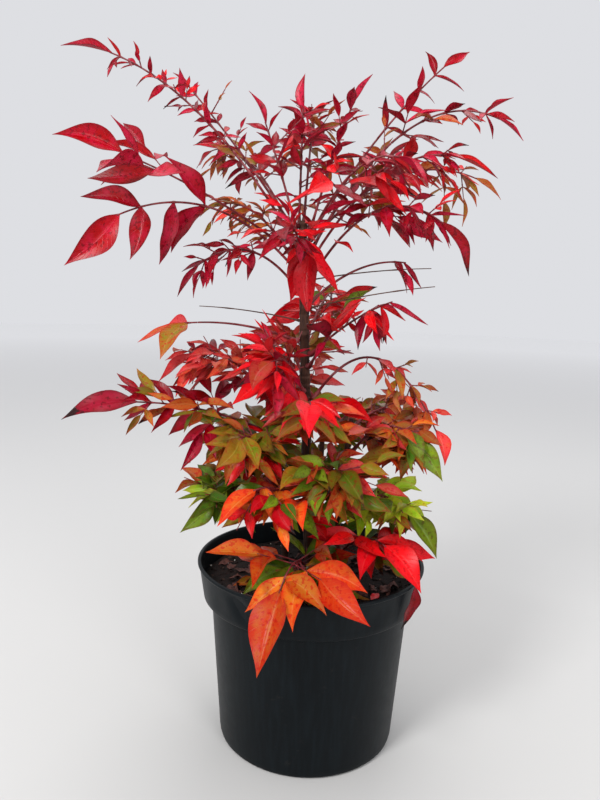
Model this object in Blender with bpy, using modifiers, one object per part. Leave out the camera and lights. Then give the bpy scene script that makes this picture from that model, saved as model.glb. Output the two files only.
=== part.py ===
"""Potted heavenly bamboo, in metres, +Z up, with the origin under the middle of the pot.

A leaning cane and four short side stems stand on the soil of a nursery pot. Compound leaves
spring from them: each is a thin arched limb that carries opposite side stalks with leaflets.
The bare stretch of a long limb is its own piece, called a bough. The leafy stretch is one
fused piece, called a spray.
"""

import math
import random
from dataclasses import dataclass

import bmesh
import bpy
from mathutils import Matrix, Vector
from mathutils.bvhtree import BVHTree

OBJECT_NAME = "potted_heavenly_bamboo"
TOUCHING_GAP = 0.0003
MERGE_DISTANCE = 0.00001
UP = Vector((0.0, 0.0, 1.0))

# Pot: a soft black nursery pot of three litres, with a deep collar under its rim
POT_HEIGHT = 0.153
RIM_RADIUS = 0.095
LIP_HEIGHT = 0.0025
LIP_OVERHANG = 0.0010
COLLAR_HEIGHT = 0.030
COLLAR_FOOT_RADIUS = 0.0895
SHOULDER_DROP = 0.0020
BODY_TOP_RADIUS = 0.0830
FOOT_RADIUS = 0.0742
FOOT_CHAMFER = 0.0030
POT_WALL = 0.0018
POT_FLOOR = 0.0025
POT_STEPS = 32
DRAIN_HOLES = 6
DRAIN_RADIUS = 0.0045
DRAIN_SIDES = 8
DRAIN_CIRCLE_RADIUS = 0.054

# Soil: fills the pot to a little under the rim, and is level where the stems stand
SOIL_TOP = 0.1380
SOIL_LEVEL_RADIUS = 0.050
SOIL_EDGE_DROP = 0.0030
SOIL_STEPS = 32

# Main cane: flared at its foot, leaning a little to the left
CANE_FOOT_RADIUS = 0.0072
CANE_RADIUS = 0.0046
CANE_TIP_RADIUS = 0.0034
CANE_TOP = 0.430
CANE_LEAN = -0.0155
CANE_FLARE_HEIGHT = 0.016
CANE_POINTS = 7
CANE_SIDES = 12
CANE_BEND = 0.85
CANE_SWAY = 0.0012
NODE_SWELL = 1.10

# Side stems: where each leaves the soil, and its tip
STEM_FOOT_RADIUS = 0.0034
STEM_TIP_RADIUS = 0.0018
STEM_POINTS = 4
STEM_SIDES = 6
STEM_BEND = 1.5
SIDE_STEMS = {
    "stem_left": (Vector((-0.021, -0.006, 0.0)), Vector((-0.036, -0.016, 0.297))),
    "stem_right": (Vector((0.019, -0.010, 0.0)), Vector((0.028, -0.020, 0.277))),
    "stem_back": (Vector((0.004, 0.022, 0.0)), Vector((0.009, 0.038, 0.283))),
    "stem_front": (Vector((-0.001, -0.027, 0.0)), Vector((-0.006, -0.039, 0.222))),
}

# Limbs, stalks and leaflets
LIMB_RADIUS = 0.00115
LEAF_ROUGHNESS = 0.45
LIMB_TIP_RADIUS = 0.00055
BOUGH_POINTS = 5
BOUGH_SIDES = 6
SPRAY_LIMB_SIDES = 4
BOUGH_SHARE = 0.94
BARE_POINTS = 2
FIRST_PAIR = 0.3
LIMB_STUB = 0.0026
STALK_RADIUS = 0.00052
STALK_TIP_RADIUS = 0.00036
STALK_ANGLE = math.radians(54)
LEAFLET_ANGLE = math.radians(50)
PAIR_SHARE = 0.48
ROLL_RANGE = 22
STEEP_SINE = 0.2
LEAFLET_ROOT = 0.0022
SMALL, LARGE = 4, 6
SIDE_ROOT = 0.00030
LEAF_WIDTH_SHARE = {SMALL: 0.46, LARGE: 0.38}
LEAF_THICKNESS_SHARE = 0.022
LEAF_THINNEST = 0.00040
LEAF_WIDEST_AT = 0.40
LEAF_FORE_SHARE = 0.75
LEAF_FOLD_SHARE = 0.06
LEAF_DROOP_SHARE = 0.14
LEAF_TAPER = 0.2
LIGHT = Vector((0.0, -1.0, 0.0))
GUARD = 0.0004

# Seeded variation, as least and most
REACH_RANGE = (0.85, 1.15)
SPREAD_RANGE = (0.80, 1.15)
LENGTH_RANGE = (0.80, 1.15)
LIFT_RANGE = (-0.05, 0.20)
DROOP_RANGE = (0.40, 1.40)
LEAN_RANGE = (-0.50, 0.50)
END_DROOP_RANGE = (0.30, 0.80)
END_LEAN_RANGE = (-0.30, 0.30)

# Leaflets longer than this have six sides to their outline
LARGE_LEAFLET = 0.043

# Leaf tints, as linear red, green and blue
TINTS = {
    "crimson": (0.330, 0.006, 0.014),
    "scarlet": (0.600, 0.022, 0.018),
    "salmon": (0.560, 0.085, 0.050),
    "orange": (0.620, 0.110, 0.018),
    "bronze": (0.270, 0.070, 0.016),
    "olive": (0.110, 0.085, 0.014),
    "green": (0.050, 0.095, 0.016),
    "lime": (0.240, 0.330, 0.020),
}


@dataclass(frozen=True)
class Leaf:
    """One compound leaf.

    It leaves a stem at a height and runs to its tip, with its middle control point raised by
    rise, and is bare over the first share of its length. The leafy rest has pairs of
    leaflets, and the first few pairs stand on side stalks of about reach, in threes. An end
    leaflet closes the limb. Droop bends the leaflets down, facing turns their upper sides to
    the light, and roll turns the plane that the pairs lie in about the limb, in degrees. A
    bough is a bare stretch that is its own piece.
    """

    name: str
    stem: str
    height: float
    tip: tuple
    tint: str
    seed: int
    bough: bool = False
    rise: float = 0.020
    bare: float = 0.20
    pairs: int = 4
    stalked: int = 1
    reach: float = 0.026
    leaflet: float = 0.036
    end: float = 0.038
    droop: float = 0.5
    roll: float = 20
    facing: float = 0.9


COMPOUND_LEAVES = (
    Leaf(
        "large_upper", "cane", 0.403, (-0.142, -0.066, 0.466), "crimson", 0, bough=True,
        rise=0.012, bare=0.72, pairs=2, reach=0.030, leaflet=0.040,
        end=0.046, droop=0.1, roll=50, facing=1.6,
    ),
    Leaf(
        "large_lower", "cane", 0.391, (-0.140, -0.084, 0.422), "crimson", 1, bough=True,
        rise=0.052, bare=0.50, pairs=3, stalked=0, leaflet=0.050,
        end=0.050, droop=0.6, roll=80, facing=1.8,
    ),
    Leaf(
        "long_left", "cane", 0.413, (-0.158, -0.030, 0.541), "crimson", 2, bough=True,
        rise=0.044, bare=0.38, pairs=8, reach=0.012, leaflet=0.019, end=0.036, droop=0.3, roll=60,
    ),
    Leaf(
        "second_left", "cane", 0.423, (-0.107, 0.005, 0.529), "crimson", 3, bough=True,
        rise=0.006, bare=0.50, pairs=5, stalked=0, leaflet=0.017, end=0.018, droop=0.1, roll=60,
    ),
    Leaf(
        "high_right", "cane", 0.420, (0.093, 0.020, 0.554), "crimson", 4, bough=True,
        bare=0.52, stalked=0, leaflet=0.028, end=0.026, droop=0.2, roll=60,
    ),
    Leaf(
        "far_right", "cane", 0.408, (0.128, -0.020, 0.506), "crimson", 5, bough=True,
        rise=0.080, bare=0.45, pairs=5, reach=0.022, leaflet=0.028, end=0.026, droop=0.2, roll=30,
    ),
    Leaf(
        "mid_right", "cane", 0.399, (0.092, -0.045, 0.474), "crimson", 6, bough=True,
        rise=0.050, bare=0.36, pairs=5, reach=0.022, leaflet=0.030, end=0.036, droop=0.3, roll=30,
    ),
    Leaf(
        "low_right", "cane", 0.384, (0.080, -0.078, 0.424), "crimson", 7, bough=True,
        rise=0.060, bare=0.42, reach=0.020, leaflet=0.034, end=0.042, droop=0.8, roll=30,
    ),
    Leaf(
        "droop_left", "cane", 0.378, (-0.092, -0.046, 0.391), "crimson", 8,
        rise=0.040, bare=0.42, pairs=5, stalked=0, leaflet=0.024, end=0.028, droop=0.9, roll=30,
    ),
    Leaf(
        "back_left", "cane", 0.410, (-0.100, 0.095, 0.498), "crimson", 9,
        rise=0.050, bare=0.38, stalked=0, leaflet=0.032, end=0.034, droop=0.3, roll=30,
    ),
    Leaf(
        "back_right", "cane", 0.404, (0.080, 0.105, 0.496), "crimson", 10,
        rise=0.050, bare=0.38, stalked=0, leaflet=0.032, end=0.034, droop=0.3, roll=30,
    ),
    Leaf(
        "bare_left", "cane", 0.336, (-0.108, -0.028, 0.348), "salmon", 11, bough=True,
        rise=0.012, bare=0.90, pairs=1, stalked=0, leaflet=0.038, end=0.036, roll=10,
    ),
    Leaf(
        "bare_right", "cane", 0.368, (0.063, -0.030, 0.399), "crimson", 12,
        bare=0.84, pairs=1, stalked=0, leaflet=0.026, end=0.024, droop=1.4, roll=0,
    ),
    Leaf(
        "low_left_arm", "stem_left", 0.262, (-0.134, -0.062, 0.292), "crimson", 13,
        rise=0.012, bare=0.35, reach=0.022, leaflet=0.037, end=0.054,
        droop=0.25, roll=50, facing=1.3,
    ),
    Leaf(
        "trailing_right", "cane", 0.290, (0.094, -0.030, 0.270), "salmon", 14,
        rise=0.090, bare=0.48, stalked=0, leaflet=0.026, end=0.030, roll=0,
    ),
    Leaf(
        "front_middle", "cane", 0.393, (-0.022, -0.074, 0.418), "crimson", 15,
        rise=0.014, bare=0.40, pairs=3, reach=0.028, leaflet=0.030, end=0.036, droop=0.3, roll=0,
    ),
    Leaf(
        "column_front", "cane", 0.410, (-0.010, -0.046, 0.402), "crimson", 16,
        rise=0.016, bare=0.50, pairs=2, stalked=0, leaflet=0.044, end=0.048, droop=1.6, roll=0,
    ),
    Leaf(
        "spill_front", "stem_front", 0.156, (-0.024, -0.094, 0.162), "orange", 17,
        rise=0.028, bare=0.45, pairs=2, reach=0.028, leaflet=0.044, end=0.060, droop=0.4, roll=10,
    ),
    Leaf(
        "spill_right", "stem_right", 0.162, (0.054, -0.070, 0.190), "scarlet", 18,
        bare=0.45, pairs=2, leaflet=0.044, end=0.046, droop=0.3, roll=0,
    ),
    Leaf(
        "clasp_right", "cane", 0.326, (0.052, -0.048, 0.370), "crimson", 119,
        rise=0.010, bare=0.62, pairs=2, reach=0.014, leaflet=0.030, end=0.034, droop=1.4, roll=0,
    ),
    Leaf(
        "upright_right", "cane", 0.316, (0.012, -0.038, 0.350), "crimson", 20,
        rise=0.004, bare=0.60, pairs=2, stalked=0, leaflet=0.038, end=0.042, droop=-0.2, roll=0,
    ),
    Leaf(
        "top_left", "cane", 0.426, (-0.046, -0.016, 0.500), "crimson", 21,
        rise=0.004, bare=0.40, stalked=0, leaflet=0.028, end=0.026, droop=0.1, roll=30,
    ),
    Leaf(
        "top_middle", "cane", 0.427, (-0.018, 0.005, 0.516), "crimson", 22,
        rise=0.004, bare=0.30, pairs=5, reach=0.020, leaflet=0.029, end=0.028, droop=0.2, roll=40,
    ),
    Leaf(
        "top_right", "cane", 0.425, (0.022, 0.010, 0.524), "crimson", 23,
        rise=0.010, bare=0.30, pairs=5, reach=0.020, leaflet=0.030, end=0.028, droop=0.3, roll=30,
    ),
    Leaf(
        "front_high", "cane", 0.414, (0.048, -0.080, 0.466), "crimson", 24,
        rise=0.040, bare=0.30, reach=0.022, leaflet=0.034, end=0.034, droop=0.4, roll=0,
    ),
    Leaf(
        "olive_right", "cane", 0.416, (0.125, 0.026, 0.470), "bronze", 25,
        rise=0.050, bare=0.25, pairs=5, reach=0.024, leaflet=0.029, end=0.030, droop=0.3,
    ),
    Leaf(
        "olive_left", "cane", 0.396, (-0.082, 0.010, 0.442), "bronze", 26,
        rise=0.030, bare=0.25, pairs=5, reach=0.020, leaflet=0.022, end=0.022, droop=0.3,
    ),
    Leaf(
        "back_high", "cane", 0.428, (-0.008, 0.070, 0.524), "crimson", 27,
        rise=0.030, bare=0.30, stalked=0, leaflet=0.032, end=0.032, droop=0.2, roll=30,
    ),
    Leaf(
        "red_top", "cane", 0.296, (-0.034, -0.076, 0.326), "scarlet", 28,
        bare=0.30, stalked=2, leaflet=0.034, end=0.040, roll=50,
    ),
    Leaf(
        "red_left", "stem_left", 0.290, (-0.098, -0.032, 0.325), "salmon", 29,
        rise=0.028, bare=0.15, pairs=5, reach=0.024, leaflet=0.032, end=0.034, droop=0.4,
    ),
    Leaf(
        "green_left", "stem_left", 0.205, (-0.078, -0.058, 0.220), "green", 30,
        stalked=2, end=0.036, droop=0.35, roll=0,
    ),
    Leaf(
        "green_middle", "stem_left", 0.238, (-0.056, -0.080, 0.270), "olive", 31,
        stalked=2, end=0.036, droop=0.35, roll=0,
    ),
    Leaf(
        "orange_front", "stem_front", 0.202, (-0.044, -0.090, 0.236), "orange", 32,
        pairs=3, reach=0.028, leaflet=0.038, end=0.040, droop=0.45, roll=0,
    ),
    Leaf(
        "red_front", "cane", 0.272, (-0.006, -0.088, 0.298), "scarlet", 33,
        rise=0.014, bare=0.25, leaflet=0.037, end=0.042, roll=0,
    ),
    Leaf(
        "olive_front", "stem_front", 0.216, (0.018, -0.086, 0.250), "olive", 34,
        bare=0.15, stalked=2, reach=0.028, end=0.036, droop=0.4, roll=0,
    ),
    Leaf(
        "lime_right", "stem_right", 0.198, (0.074, -0.048, 0.208), "lime", 135,
        rise=0.030, reach=0.024, leaflet=0.038, end=0.040, droop=0.4, roll=0,
    ),
    Leaf(
        "orange_right", "stem_right", 0.250, (0.076, -0.050, 0.268), "orange", 36,
        rise=0.030, bare=0.15, leaflet=0.037, droop=0.4, roll=0,
    ),
    Leaf(
        "side_left", "stem_left", 0.238, (-0.090, 0.022, 0.250), "olive", 37,
        rise=0.030, leaflet=0.037,
    ),
    Leaf(
        "side_right", "stem_right", 0.270, (0.088, 0.036, 0.262), "bronze", 38,
        rise=0.030, leaflet=0.037,
    ),
    Leaf(
        "rear_left", "stem_back", 0.276, (-0.050, 0.096, 0.296), "salmon", 39,
        rise=0.026, bare=0.15, reach=0.028, leaflet=0.038,
    ),
    Leaf(
        "rear_right", "stem_back", 0.248, (0.060, 0.094, 0.256), "olive", 40,
        rise=0.030, bare=0.15, reach=0.028, leaflet=0.038,
    ),
    Leaf(
        "rear_middle", "cane", 0.336, (0.016, 0.088, 0.376), "scarlet", 42,
        bare=0.25, pairs=3, reach=0.028, leaflet=0.038,
    ),
    Leaf(
        "rear_red", "cane", 0.300, (-0.030, 0.074, 0.336), "salmon", 43,
        bare=0.25, pairs=3, reach=0.028, leaflet=0.038,
    ),
    Leaf(
        "rear_low", "stem_back", 0.200, (-0.004, 0.092, 0.206), "green", 141,
        rise=0.030, pairs=3, reach=0.028, leaflet=0.038, droop=0.6,
    ),
)


def remove_everything():
    """Empty the scene."""
    for thing in list(bpy.data.objects):
        bpy.data.objects.remove(thing)
    for group in list(bpy.data.collections):
        bpy.data.collections.remove(group)


def new_collection(name):
    """Make a collection under the scene's own."""
    group = bpy.data.collections.new(name)
    bpy.context.scene.collection.children.link(group)
    return group


def finish_material(name, colour, roughness):
    """A plain Principled material."""
    material = bpy.data.materials.new(name)
    material.use_nodes = True
    surface = material.node_tree.nodes["Principled BSDF"]
    surface.inputs["Base Color"].default_value = (*colour, 1.0)
    surface.inputs["Roughness"].default_value = roughness
    surface.inputs["Metallic"].default_value = 0.0
    return material


def add_object(name, data, group, material=None):
    """Link a new object that holds data, and give it its material."""
    thing = bpy.data.objects.new(name, data)
    group.objects.link(thing)
    if material:
        data.materials.clear()
        data.materials.append(material)
    return thing


def evaluated_mesh(thing):
    """A new mesh of the object as its modifiers and bevels leave it."""
    graph = bpy.context.evaluated_depsgraph_get()
    return bpy.data.meshes.new_from_object(thing.evaluated_get(graph))


def turned_object(name, profile, steps, group, material):
    """Turn an outline of (radius, height) points round the Z axis."""
    outline = bpy.data.meshes.new(name)
    points = [(radius, 0.0, height) for radius, height in profile]
    edges = [(i, i + 1) for i in range(len(points) - 1)]
    outline.from_pydata(points, edges, [])
    thing = add_object(name, outline, group, material)
    screw = thing.modifiers.new("turn", "SCREW")
    screw.steps = steps
    screw.render_steps = steps
    screw.use_merge_vertices = True
    screw.merge_threshold = MERGE_DISTANCE
    screw.use_smooth_shade = True
    return thing


def wall_radius(height):
    """The pot's outer radius at a height, on the body and on the collar."""
    shoulder = POT_HEIGHT - COLLAR_HEIGHT
    if height < shoulder:
        share = height / (shoulder - SHOULDER_DROP)
        return FOOT_RADIUS + (BODY_TOP_RADIUS - FOOT_RADIUS) * min(share, 1.0)
    share = (height - shoulder) / COLLAR_HEIGHT
    return COLLAR_FOOT_RADIUS + (RIM_RADIUS - LIP_OVERHANG - COLLAR_FOOT_RADIUS) * share


def build_pot(group, cutters, material):
    """The pot: chamfered foot, tapered body, stepped collar, thick lip and drain holes."""
    shoulder = POT_HEIGHT - COLLAR_HEIGHT
    under = shoulder - SHOULDER_DROP
    lip_foot = POT_HEIGHT - LIP_HEIGHT
    profile = [
        (0.0, POT_FLOOR),
        (wall_radius(POT_FLOOR) - POT_WALL, POT_FLOOR),
        (BODY_TOP_RADIUS - POT_WALL, under),
        (COLLAR_FOOT_RADIUS - POT_WALL, shoulder),
        (wall_radius(lip_foot) - POT_WALL, lip_foot),
        (RIM_RADIUS - LIP_OVERHANG - POT_WALL, POT_HEIGHT),
        (RIM_RADIUS - LIP_OVERHANG / 2, POT_HEIGHT),
        (RIM_RADIUS, POT_HEIGHT - LIP_HEIGHT / 2),
        (RIM_RADIUS - LIP_OVERHANG / 2, lip_foot),
        (wall_radius(lip_foot) - LIP_OVERHANG / 4, lip_foot - LIP_HEIGHT / 2),
        (COLLAR_FOOT_RADIUS, shoulder),
        (BODY_TOP_RADIUS, under),
        (wall_radius(FOOT_CHAMFER), FOOT_CHAMFER),
        (FOOT_RADIUS - FOOT_CHAMFER, 0.0),
        (0.0, 0.0),
    ]
    pot = turned_object("pot", profile, POT_STEPS, group, material)
    drill = bmesh.new()
    for i in range(DRAIN_HOLES):
        turn = Matrix.Rotation(2 * math.pi * (i + 0.5) / DRAIN_HOLES, 4, "Z")
        place = turn @ Matrix.Translation((DRAIN_CIRCLE_RADIUS, 0.0, POT_FLOOR / 2))
        bmesh.ops.create_cone(
            drill,
            cap_ends=True,
            segments=DRAIN_SIDES,
            radius1=DRAIN_RADIUS,
            radius2=DRAIN_RADIUS,
            depth=POT_FLOOR * 3,
            matrix=place,
        )
    holes = bpy.data.meshes.new("drain_cutter")
    drill.to_mesh(holes)
    drill.free()
    cutter = add_object("drain_cutter", holes, cutters)
    cutter.hide_render = True
    cutter.display_type = "WIRE"
    cut = pot.modifiers.new("drain_holes", "BOOLEAN")
    cut.operation = "DIFFERENCE"
    cut.object = cutter
    return pot


def build_soil(group, material):
    """The soil: fits inside the pot's wall and floor, and is level in the middle."""
    shoulder = POT_HEIGHT - COLLAR_HEIGHT
    under = shoulder - SHOULDER_DROP
    inset = POT_WALL + TOUCHING_GAP
    edge_height = SOIL_TOP - SOIL_EDGE_DROP
    bottom = POT_FLOOR + TOUCHING_GAP
    profile = [
        (0.0, SOIL_TOP),
        (SOIL_LEVEL_RADIUS, SOIL_TOP),
        (wall_radius(edge_height) - inset, edge_height),
        (COLLAR_FOOT_RADIUS - inset, shoulder + TOUCHING_GAP),
        (BODY_TOP_RADIUS - inset, under + TOUCHING_GAP),
        (wall_radius(bottom) - inset, bottom),
        (0.0, bottom),
    ]
    return turned_object("soil", profile, SOIL_STEPS, group, material)


def tube_object(name, points, radii, sides, group, material=None):
    """A capped tube along points whose radius changes from point to point."""
    curve = bpy.data.curves.new(name, "CURVE")
    curve.dimensions = "3D"
    curve.bevel_depth = 1.0
    curve.bevel_resolution = (sides - 4) // 2
    curve.use_fill_caps = True
    spline = curve.splines.new("POLY")
    spline.points.add(len(points) - 1)
    for knot, place, radius in zip(spline.points, points, radii):
        knot.co = (*place, 1.0)
        knot.radius = radius
    return add_object(name, curve, group, material)


def cane_point(height):
    """The middle of the leaning cane at a height, with a slight sway."""
    share = (height - SOIL_TOP) / (CANE_TOP - SOIL_TOP)
    sway = CANE_SWAY * math.sin(2 * math.pi * share)
    return Vector((CANE_LEAN * share**CANE_BEND, sway, height))


def cane_radius(height):
    """The cane's radius at a height: a flared foot, then a slow taper."""
    share = (height - SOIL_TOP) / (CANE_TOP - SOIL_TOP)
    flare = max(0.0, 1.0 - (height - SOIL_TOP) / CANE_FLARE_HEIGHT)
    plain = CANE_RADIUS + (CANE_TIP_RADIUS - CANE_RADIUS) * share
    return plain + (CANE_FOOT_RADIUS - CANE_RADIUS) * flare**2


def build_cane(group, material):
    """The main cane, from a flat cut on the soil to its tip, swollen at every other ring."""
    foot = SOIL_TOP + TOUCHING_GAP
    heights = [foot, foot + CANE_FLARE_HEIGHT / 3, foot + CANE_FLARE_HEIGHT]
    rest = CANE_TOP - heights[-1]
    heights += [heights[-1] + rest * (i + 1) / CANE_POINTS for i in range(CANE_POINTS)]
    points = [cane_point(height) for height in heights]
    points[1].x, points[1].y = points[0].x, points[0].y
    radii = [cane_radius(height) for height in heights]
    for i in range(4, len(radii) - 1, 2):
        radii[i] *= NODE_SWELL
    return tube_object("cane", points, radii, CANE_SIDES, group, material)


def stem_point(name, height):
    """The middle of a side stem at a height. It rises steeply, then leans out."""
    foot, tip = SIDE_STEMS[name]
    share = (height - SOIL_TOP) / (tip.z - SOIL_TOP)
    middle = foot.lerp(tip, share**STEM_BEND)
    return Vector((middle.x, middle.y, height))


def stem_radius(name, height):
    """A side stem's radius at a height."""
    share = (height - SOIL_TOP) / (SIDE_STEMS[name][1].z - SOIL_TOP)
    return STEM_FOOT_RADIUS + (STEM_TIP_RADIUS - STEM_FOOT_RADIUS) * share


def build_side_stem(name, group, material):
    """One short stem, from a flat cut on the soil."""
    foot = SOIL_TOP + TOUCHING_GAP
    top = SIDE_STEMS[name][1].z
    heights = [foot + (top - foot) * i / STEM_POINTS for i in range(STEM_POINTS + 1)]
    heights.insert(1, foot + STEM_FOOT_RADIUS)
    points = [stem_point(name, height) for height in heights]
    points[1].x, points[1].y = points[0].x, points[0].y
    radii = [stem_radius(name, height) for height in heights]
    return tube_object(name, points, radii, STEM_SIDES, group, material)


def limb_start(leaf):
    """Where a limb leaves its stem, and the level direction that it leaves in."""
    if leaf.stem == "cane":
        middle, radius = cane_point(leaf.height), cane_radius(leaf.height)
        radius *= NODE_SWELL
    else:
        middle, radius = stem_point(leaf.stem, leaf.height), stem_radius(leaf.stem, leaf.height)
    outward = Vector(leaf.tip) - middle
    outward.z = 0.0
    outward.normalize()
    return middle + outward * (radius + TOUCHING_GAP), outward


def limb_point(leaf, share):
    """A point of the limb's arch, as a share of its run from stub to tip."""
    start, outward = limb_start(leaf)
    start = start + outward * LIMB_STUB
    tip = Vector(leaf.tip)
    control = (start + tip) / 2 + UP * leaf.rise
    return start * (1 - share) ** 2 + control * 2 * share * (1 - share) + tip * share**2


def limb_direction(leaf, share):
    """The unit direction of the limb's arch at a share of its run."""
    step = 0.01
    before, after = max(share - step, 0.0), min(share + step, 1.0)
    return (limb_point(leaf, after) - limb_point(leaf, before)).normalized()


def limb_radius(share):
    """A limb's radius at a share of its run."""
    return LIMB_RADIUS + (LIMB_TIP_RADIUS - LIMB_RADIUS) * share


def limb_stretch(leaf, shares, from_stem):
    """Points and radii of the limb at some shares, led by its stub where it has one."""
    points = [limb_point(leaf, share) for share in shares]
    radii = [limb_radius(share) for share in shares]
    if from_stem:
        points.insert(0, limb_start(leaf)[0])
        radii.insert(0, LIMB_RADIUS)
    return points, radii


def pair_shares(leaf):
    """The shares of the limb at which its pairs stand."""
    step = (1.0 - leaf.bare) / leaf.pairs
    return [leaf.bare + step * (i + FIRST_PAIR) for i in range(leaf.pairs)]


def bough_share(leaf):
    """The share of the limb that its bough takes."""
    return leaf.bare * BOUGH_SHARE if leaf.bough else 0.0


def build_bough(leaf, group, material):
    """The bare stretch of a long limb."""
    last = bough_share(leaf)
    shares = [last * i / (BOUGH_POINTS - 1) for i in range(BOUGH_POINTS)]
    points, radii = limb_stretch(leaf, shares, True)
    return tube_object("bough_" + leaf.name, points, radii, BOUGH_SIDES, group, material)


def piece_object(shape, group):
    """Turn a finished bmesh into an object of a group."""
    mesh = bpy.data.meshes.new("piece")
    shape.to_mesh(mesh)
    shape.free()
    return add_object("piece", mesh, group)


def leaflet_shape(base, direction, normal, length, corners, guard=0.0):
    """A thin pointed leaflet, folded along its midrib and bent down towards its tip."""
    width = length * LEAF_WIDTH_SHARE[corners] + guard * 2
    thickness = max(length * LEAF_THICKNESS_SHARE, LEAF_THINNEST) + guard * 2
    side = normal.cross(direction).normalized()
    above = direction.cross(side)
    shape = bmesh.new()
    bmesh.ops.create_uvsphere(shape, u_segments=corners, v_segments=2, radius=1.0)
    for corner in shape.verts:
        along = (corner.co.y + 1) / 2
        across = -corner.co.x
        is_pole = abs(corner.co.z) > 0.5
        is_side = abs(across) > 0.5
        if is_pole or (is_side and corners == SMALL):
            along = LEAF_WIDEST_AT
        elif is_side and along > LEAF_WIDEST_AT:
            across *= LEAF_FORE_SHARE
        lift = corner.co.z * thickness / 2
        lift += abs(across) * LEAF_FOLD_SHARE * length - LEAF_DROOP_SHARE * length * along**2
        corner.co = base + direction * along * length + side * across * width / 2 + above * lift
    return shape


def twig_shape(start, end, first_radius, last_radius):
    """A three-sided tapered twig between two points."""
    run = end - start
    place = Matrix.Translation((start + end) / 2) @ run.to_track_quat("Z", "Y").to_matrix().to_4x4()
    shape = bmesh.new()
    bmesh.ops.create_cone(
        shape,
        cap_ends=True,
        segments=3,
        radius1=first_radius,
        radius2=last_radius,
        depth=run.length,
        matrix=place,
    )
    return shape


class Surroundings:
    """The pieces built so far by name, for testing that a new one stays clear of them."""

    def __init__(self):
        self.trees = {}

    def add(self, thing):
        """Take in an object, in place of an earlier one of its name."""
        mesh = evaluated_mesh(thing)
        shape = bmesh.new()
        shape.from_mesh(mesh)
        bpy.data.meshes.remove(mesh)
        self.trees[thing.name] = BVHTree.FromBMesh(shape)
        shape.free()

    def is_clear(self, shape, own_name):
        """Whether a shape touches no piece but its own. The shape is freed."""
        tree = BVHTree.FromBMesh(shape)
        shape.free()
        others = [other for name, other in self.trees.items() if name != own_name]
        return not any(tree.overlap(other) for other in others)


def drooped(direction, droop):
    """A direction bent down by a share of its length."""
    return (direction - UP * droop).normalized()


def add_leaflet(leaf, root, heading, size, tilt, pieces, surroundings):
    """One leaflet, left out where it would touch another piece."""
    droop, lean = tilt
    direction = drooped(heading, leaf.droop * droop)
    level = direction.cross(UP)
    if level.length < STEEP_SINE:
        level = Vector((1.0, 0.0, 0.0))
    level.normalize()
    lean += leaf.facing * level.dot(LIGHT)
    normal = (level.cross(direction) + level * lean).normalized()
    corners = LARGE if size > LARGE_LEAFLET else SMALL
    tries = (root, direction, normal, size, corners)
    guard = leaflet_shape(*tries, guard=GUARD)
    if surroundings.is_clear(guard, spray_name(leaf)):
        pieces.append(leaflet_shape(*tries))


def grow_stalk(leaf, rng, node, heading, size, pieces, surroundings):
    """One side stalk with an end leaflet and a pair half way along."""
    length = leaf.reach * rng.uniform(*REACH_RANGE)
    end = node + heading * length
    across = heading.cross(UP).normalized()
    tilts = [(rng.uniform(*DROOP_RANGE), rng.uniform(*LEAN_RANGE)) for _ in range(3)]
    bends = [rng.uniform(*SPREAD_RANGE) * LEAFLET_ANGLE for _ in range(2)]
    leaflets = [(end - heading * LEAFLET_ROOT, heading)]
    for turn, bend in zip((1.0, -1.0), bends):
        aside = heading * math.cos(bend) + across * math.sin(bend) * turn
        leaflets.append((node + heading * length * PAIR_SHARE - aside * SIDE_ROOT, aside))
    guard = twig_shape(
        node + heading * LIMB_RADIUS * 2, end, STALK_RADIUS + GUARD, STALK_TIP_RADIUS + GUARD
    )
    if not surroundings.is_clear(guard, spray_name(leaf)):
        return
    pieces.append(twig_shape(node, end, STALK_RADIUS, STALK_TIP_RADIUS))
    for (root, aside), tilt in zip(leaflets, tilts):
        add_leaflet(leaf, root, aside, size, tilt, pieces, surroundings)


def spray_pieces(leaf, rng, surroundings):
    """The side stalks and leaflets of the leafy stretch of one compound leaf."""
    pieces = []
    for i, place in enumerate(pair_shares(leaf)):
        share = i / leaf.pairs
        node = limb_point(leaf, place)
        along = limb_direction(leaf, place)
        level = along.cross(UP).normalized()
        turn = leaf.roll * (1 if i % 2 else -1) + rng.uniform(-ROLL_RANGE, ROLL_RANGE)
        sideways = Matrix.Rotation(math.radians(turn), 3, along) @ level
        for side in (1.0, -1.0):
            angle = STALK_ANGLE * rng.uniform(*SPREAD_RANGE)
            heading = along * math.cos(angle) + sideways * math.sin(angle) * side
            heading = (heading + UP * rng.uniform(*LIFT_RANGE)).normalized()
            size = leaf.leaflet * rng.uniform(*LENGTH_RANGE) * (1.0 - LEAF_TAPER * share)
            tilt = (rng.uniform(*DROOP_RANGE), rng.uniform(*LEAN_RANGE))
            if i < leaf.stalked:
                grow_stalk(leaf, rng, node, heading, size, pieces, surroundings)
            else:
                root = node - heading * SIDE_ROOT
                add_leaflet(leaf, root, heading, size, tilt, pieces, surroundings)
    tip, along = limb_point(leaf, 1.0), limb_direction(leaf, 1.0)
    tilt = (rng.uniform(*END_DROOP_RANGE), rng.uniform(*END_LEAN_RANGE))
    add_leaflet(leaf, tip - along * LEAFLET_ROOT, along, leaf.end, tilt, pieces, surroundings)
    return pieces


def drop_scraps(mesh):
    """Keep only the largest connected body of a mesh."""
    shape = bmesh.new()
    shape.from_mesh(mesh)
    loose = set(shape.verts)
    bodies = []
    while loose:
        body = {loose.pop()}
        front = list(body)
        while front:
            corner = front.pop()
            near = {edge.other_vert(corner) for edge in corner.link_edges} - body
            body |= near
            front += near
        loose -= body
        bodies.append(body)
    bodies.sort(key=len)
    scraps = [corner for body in bodies[:-1] for corner in body]
    bmesh.ops.delete(shape, geom=scraps, context="VERTS")
    shape.to_mesh(mesh)
    shape.free()


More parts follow.
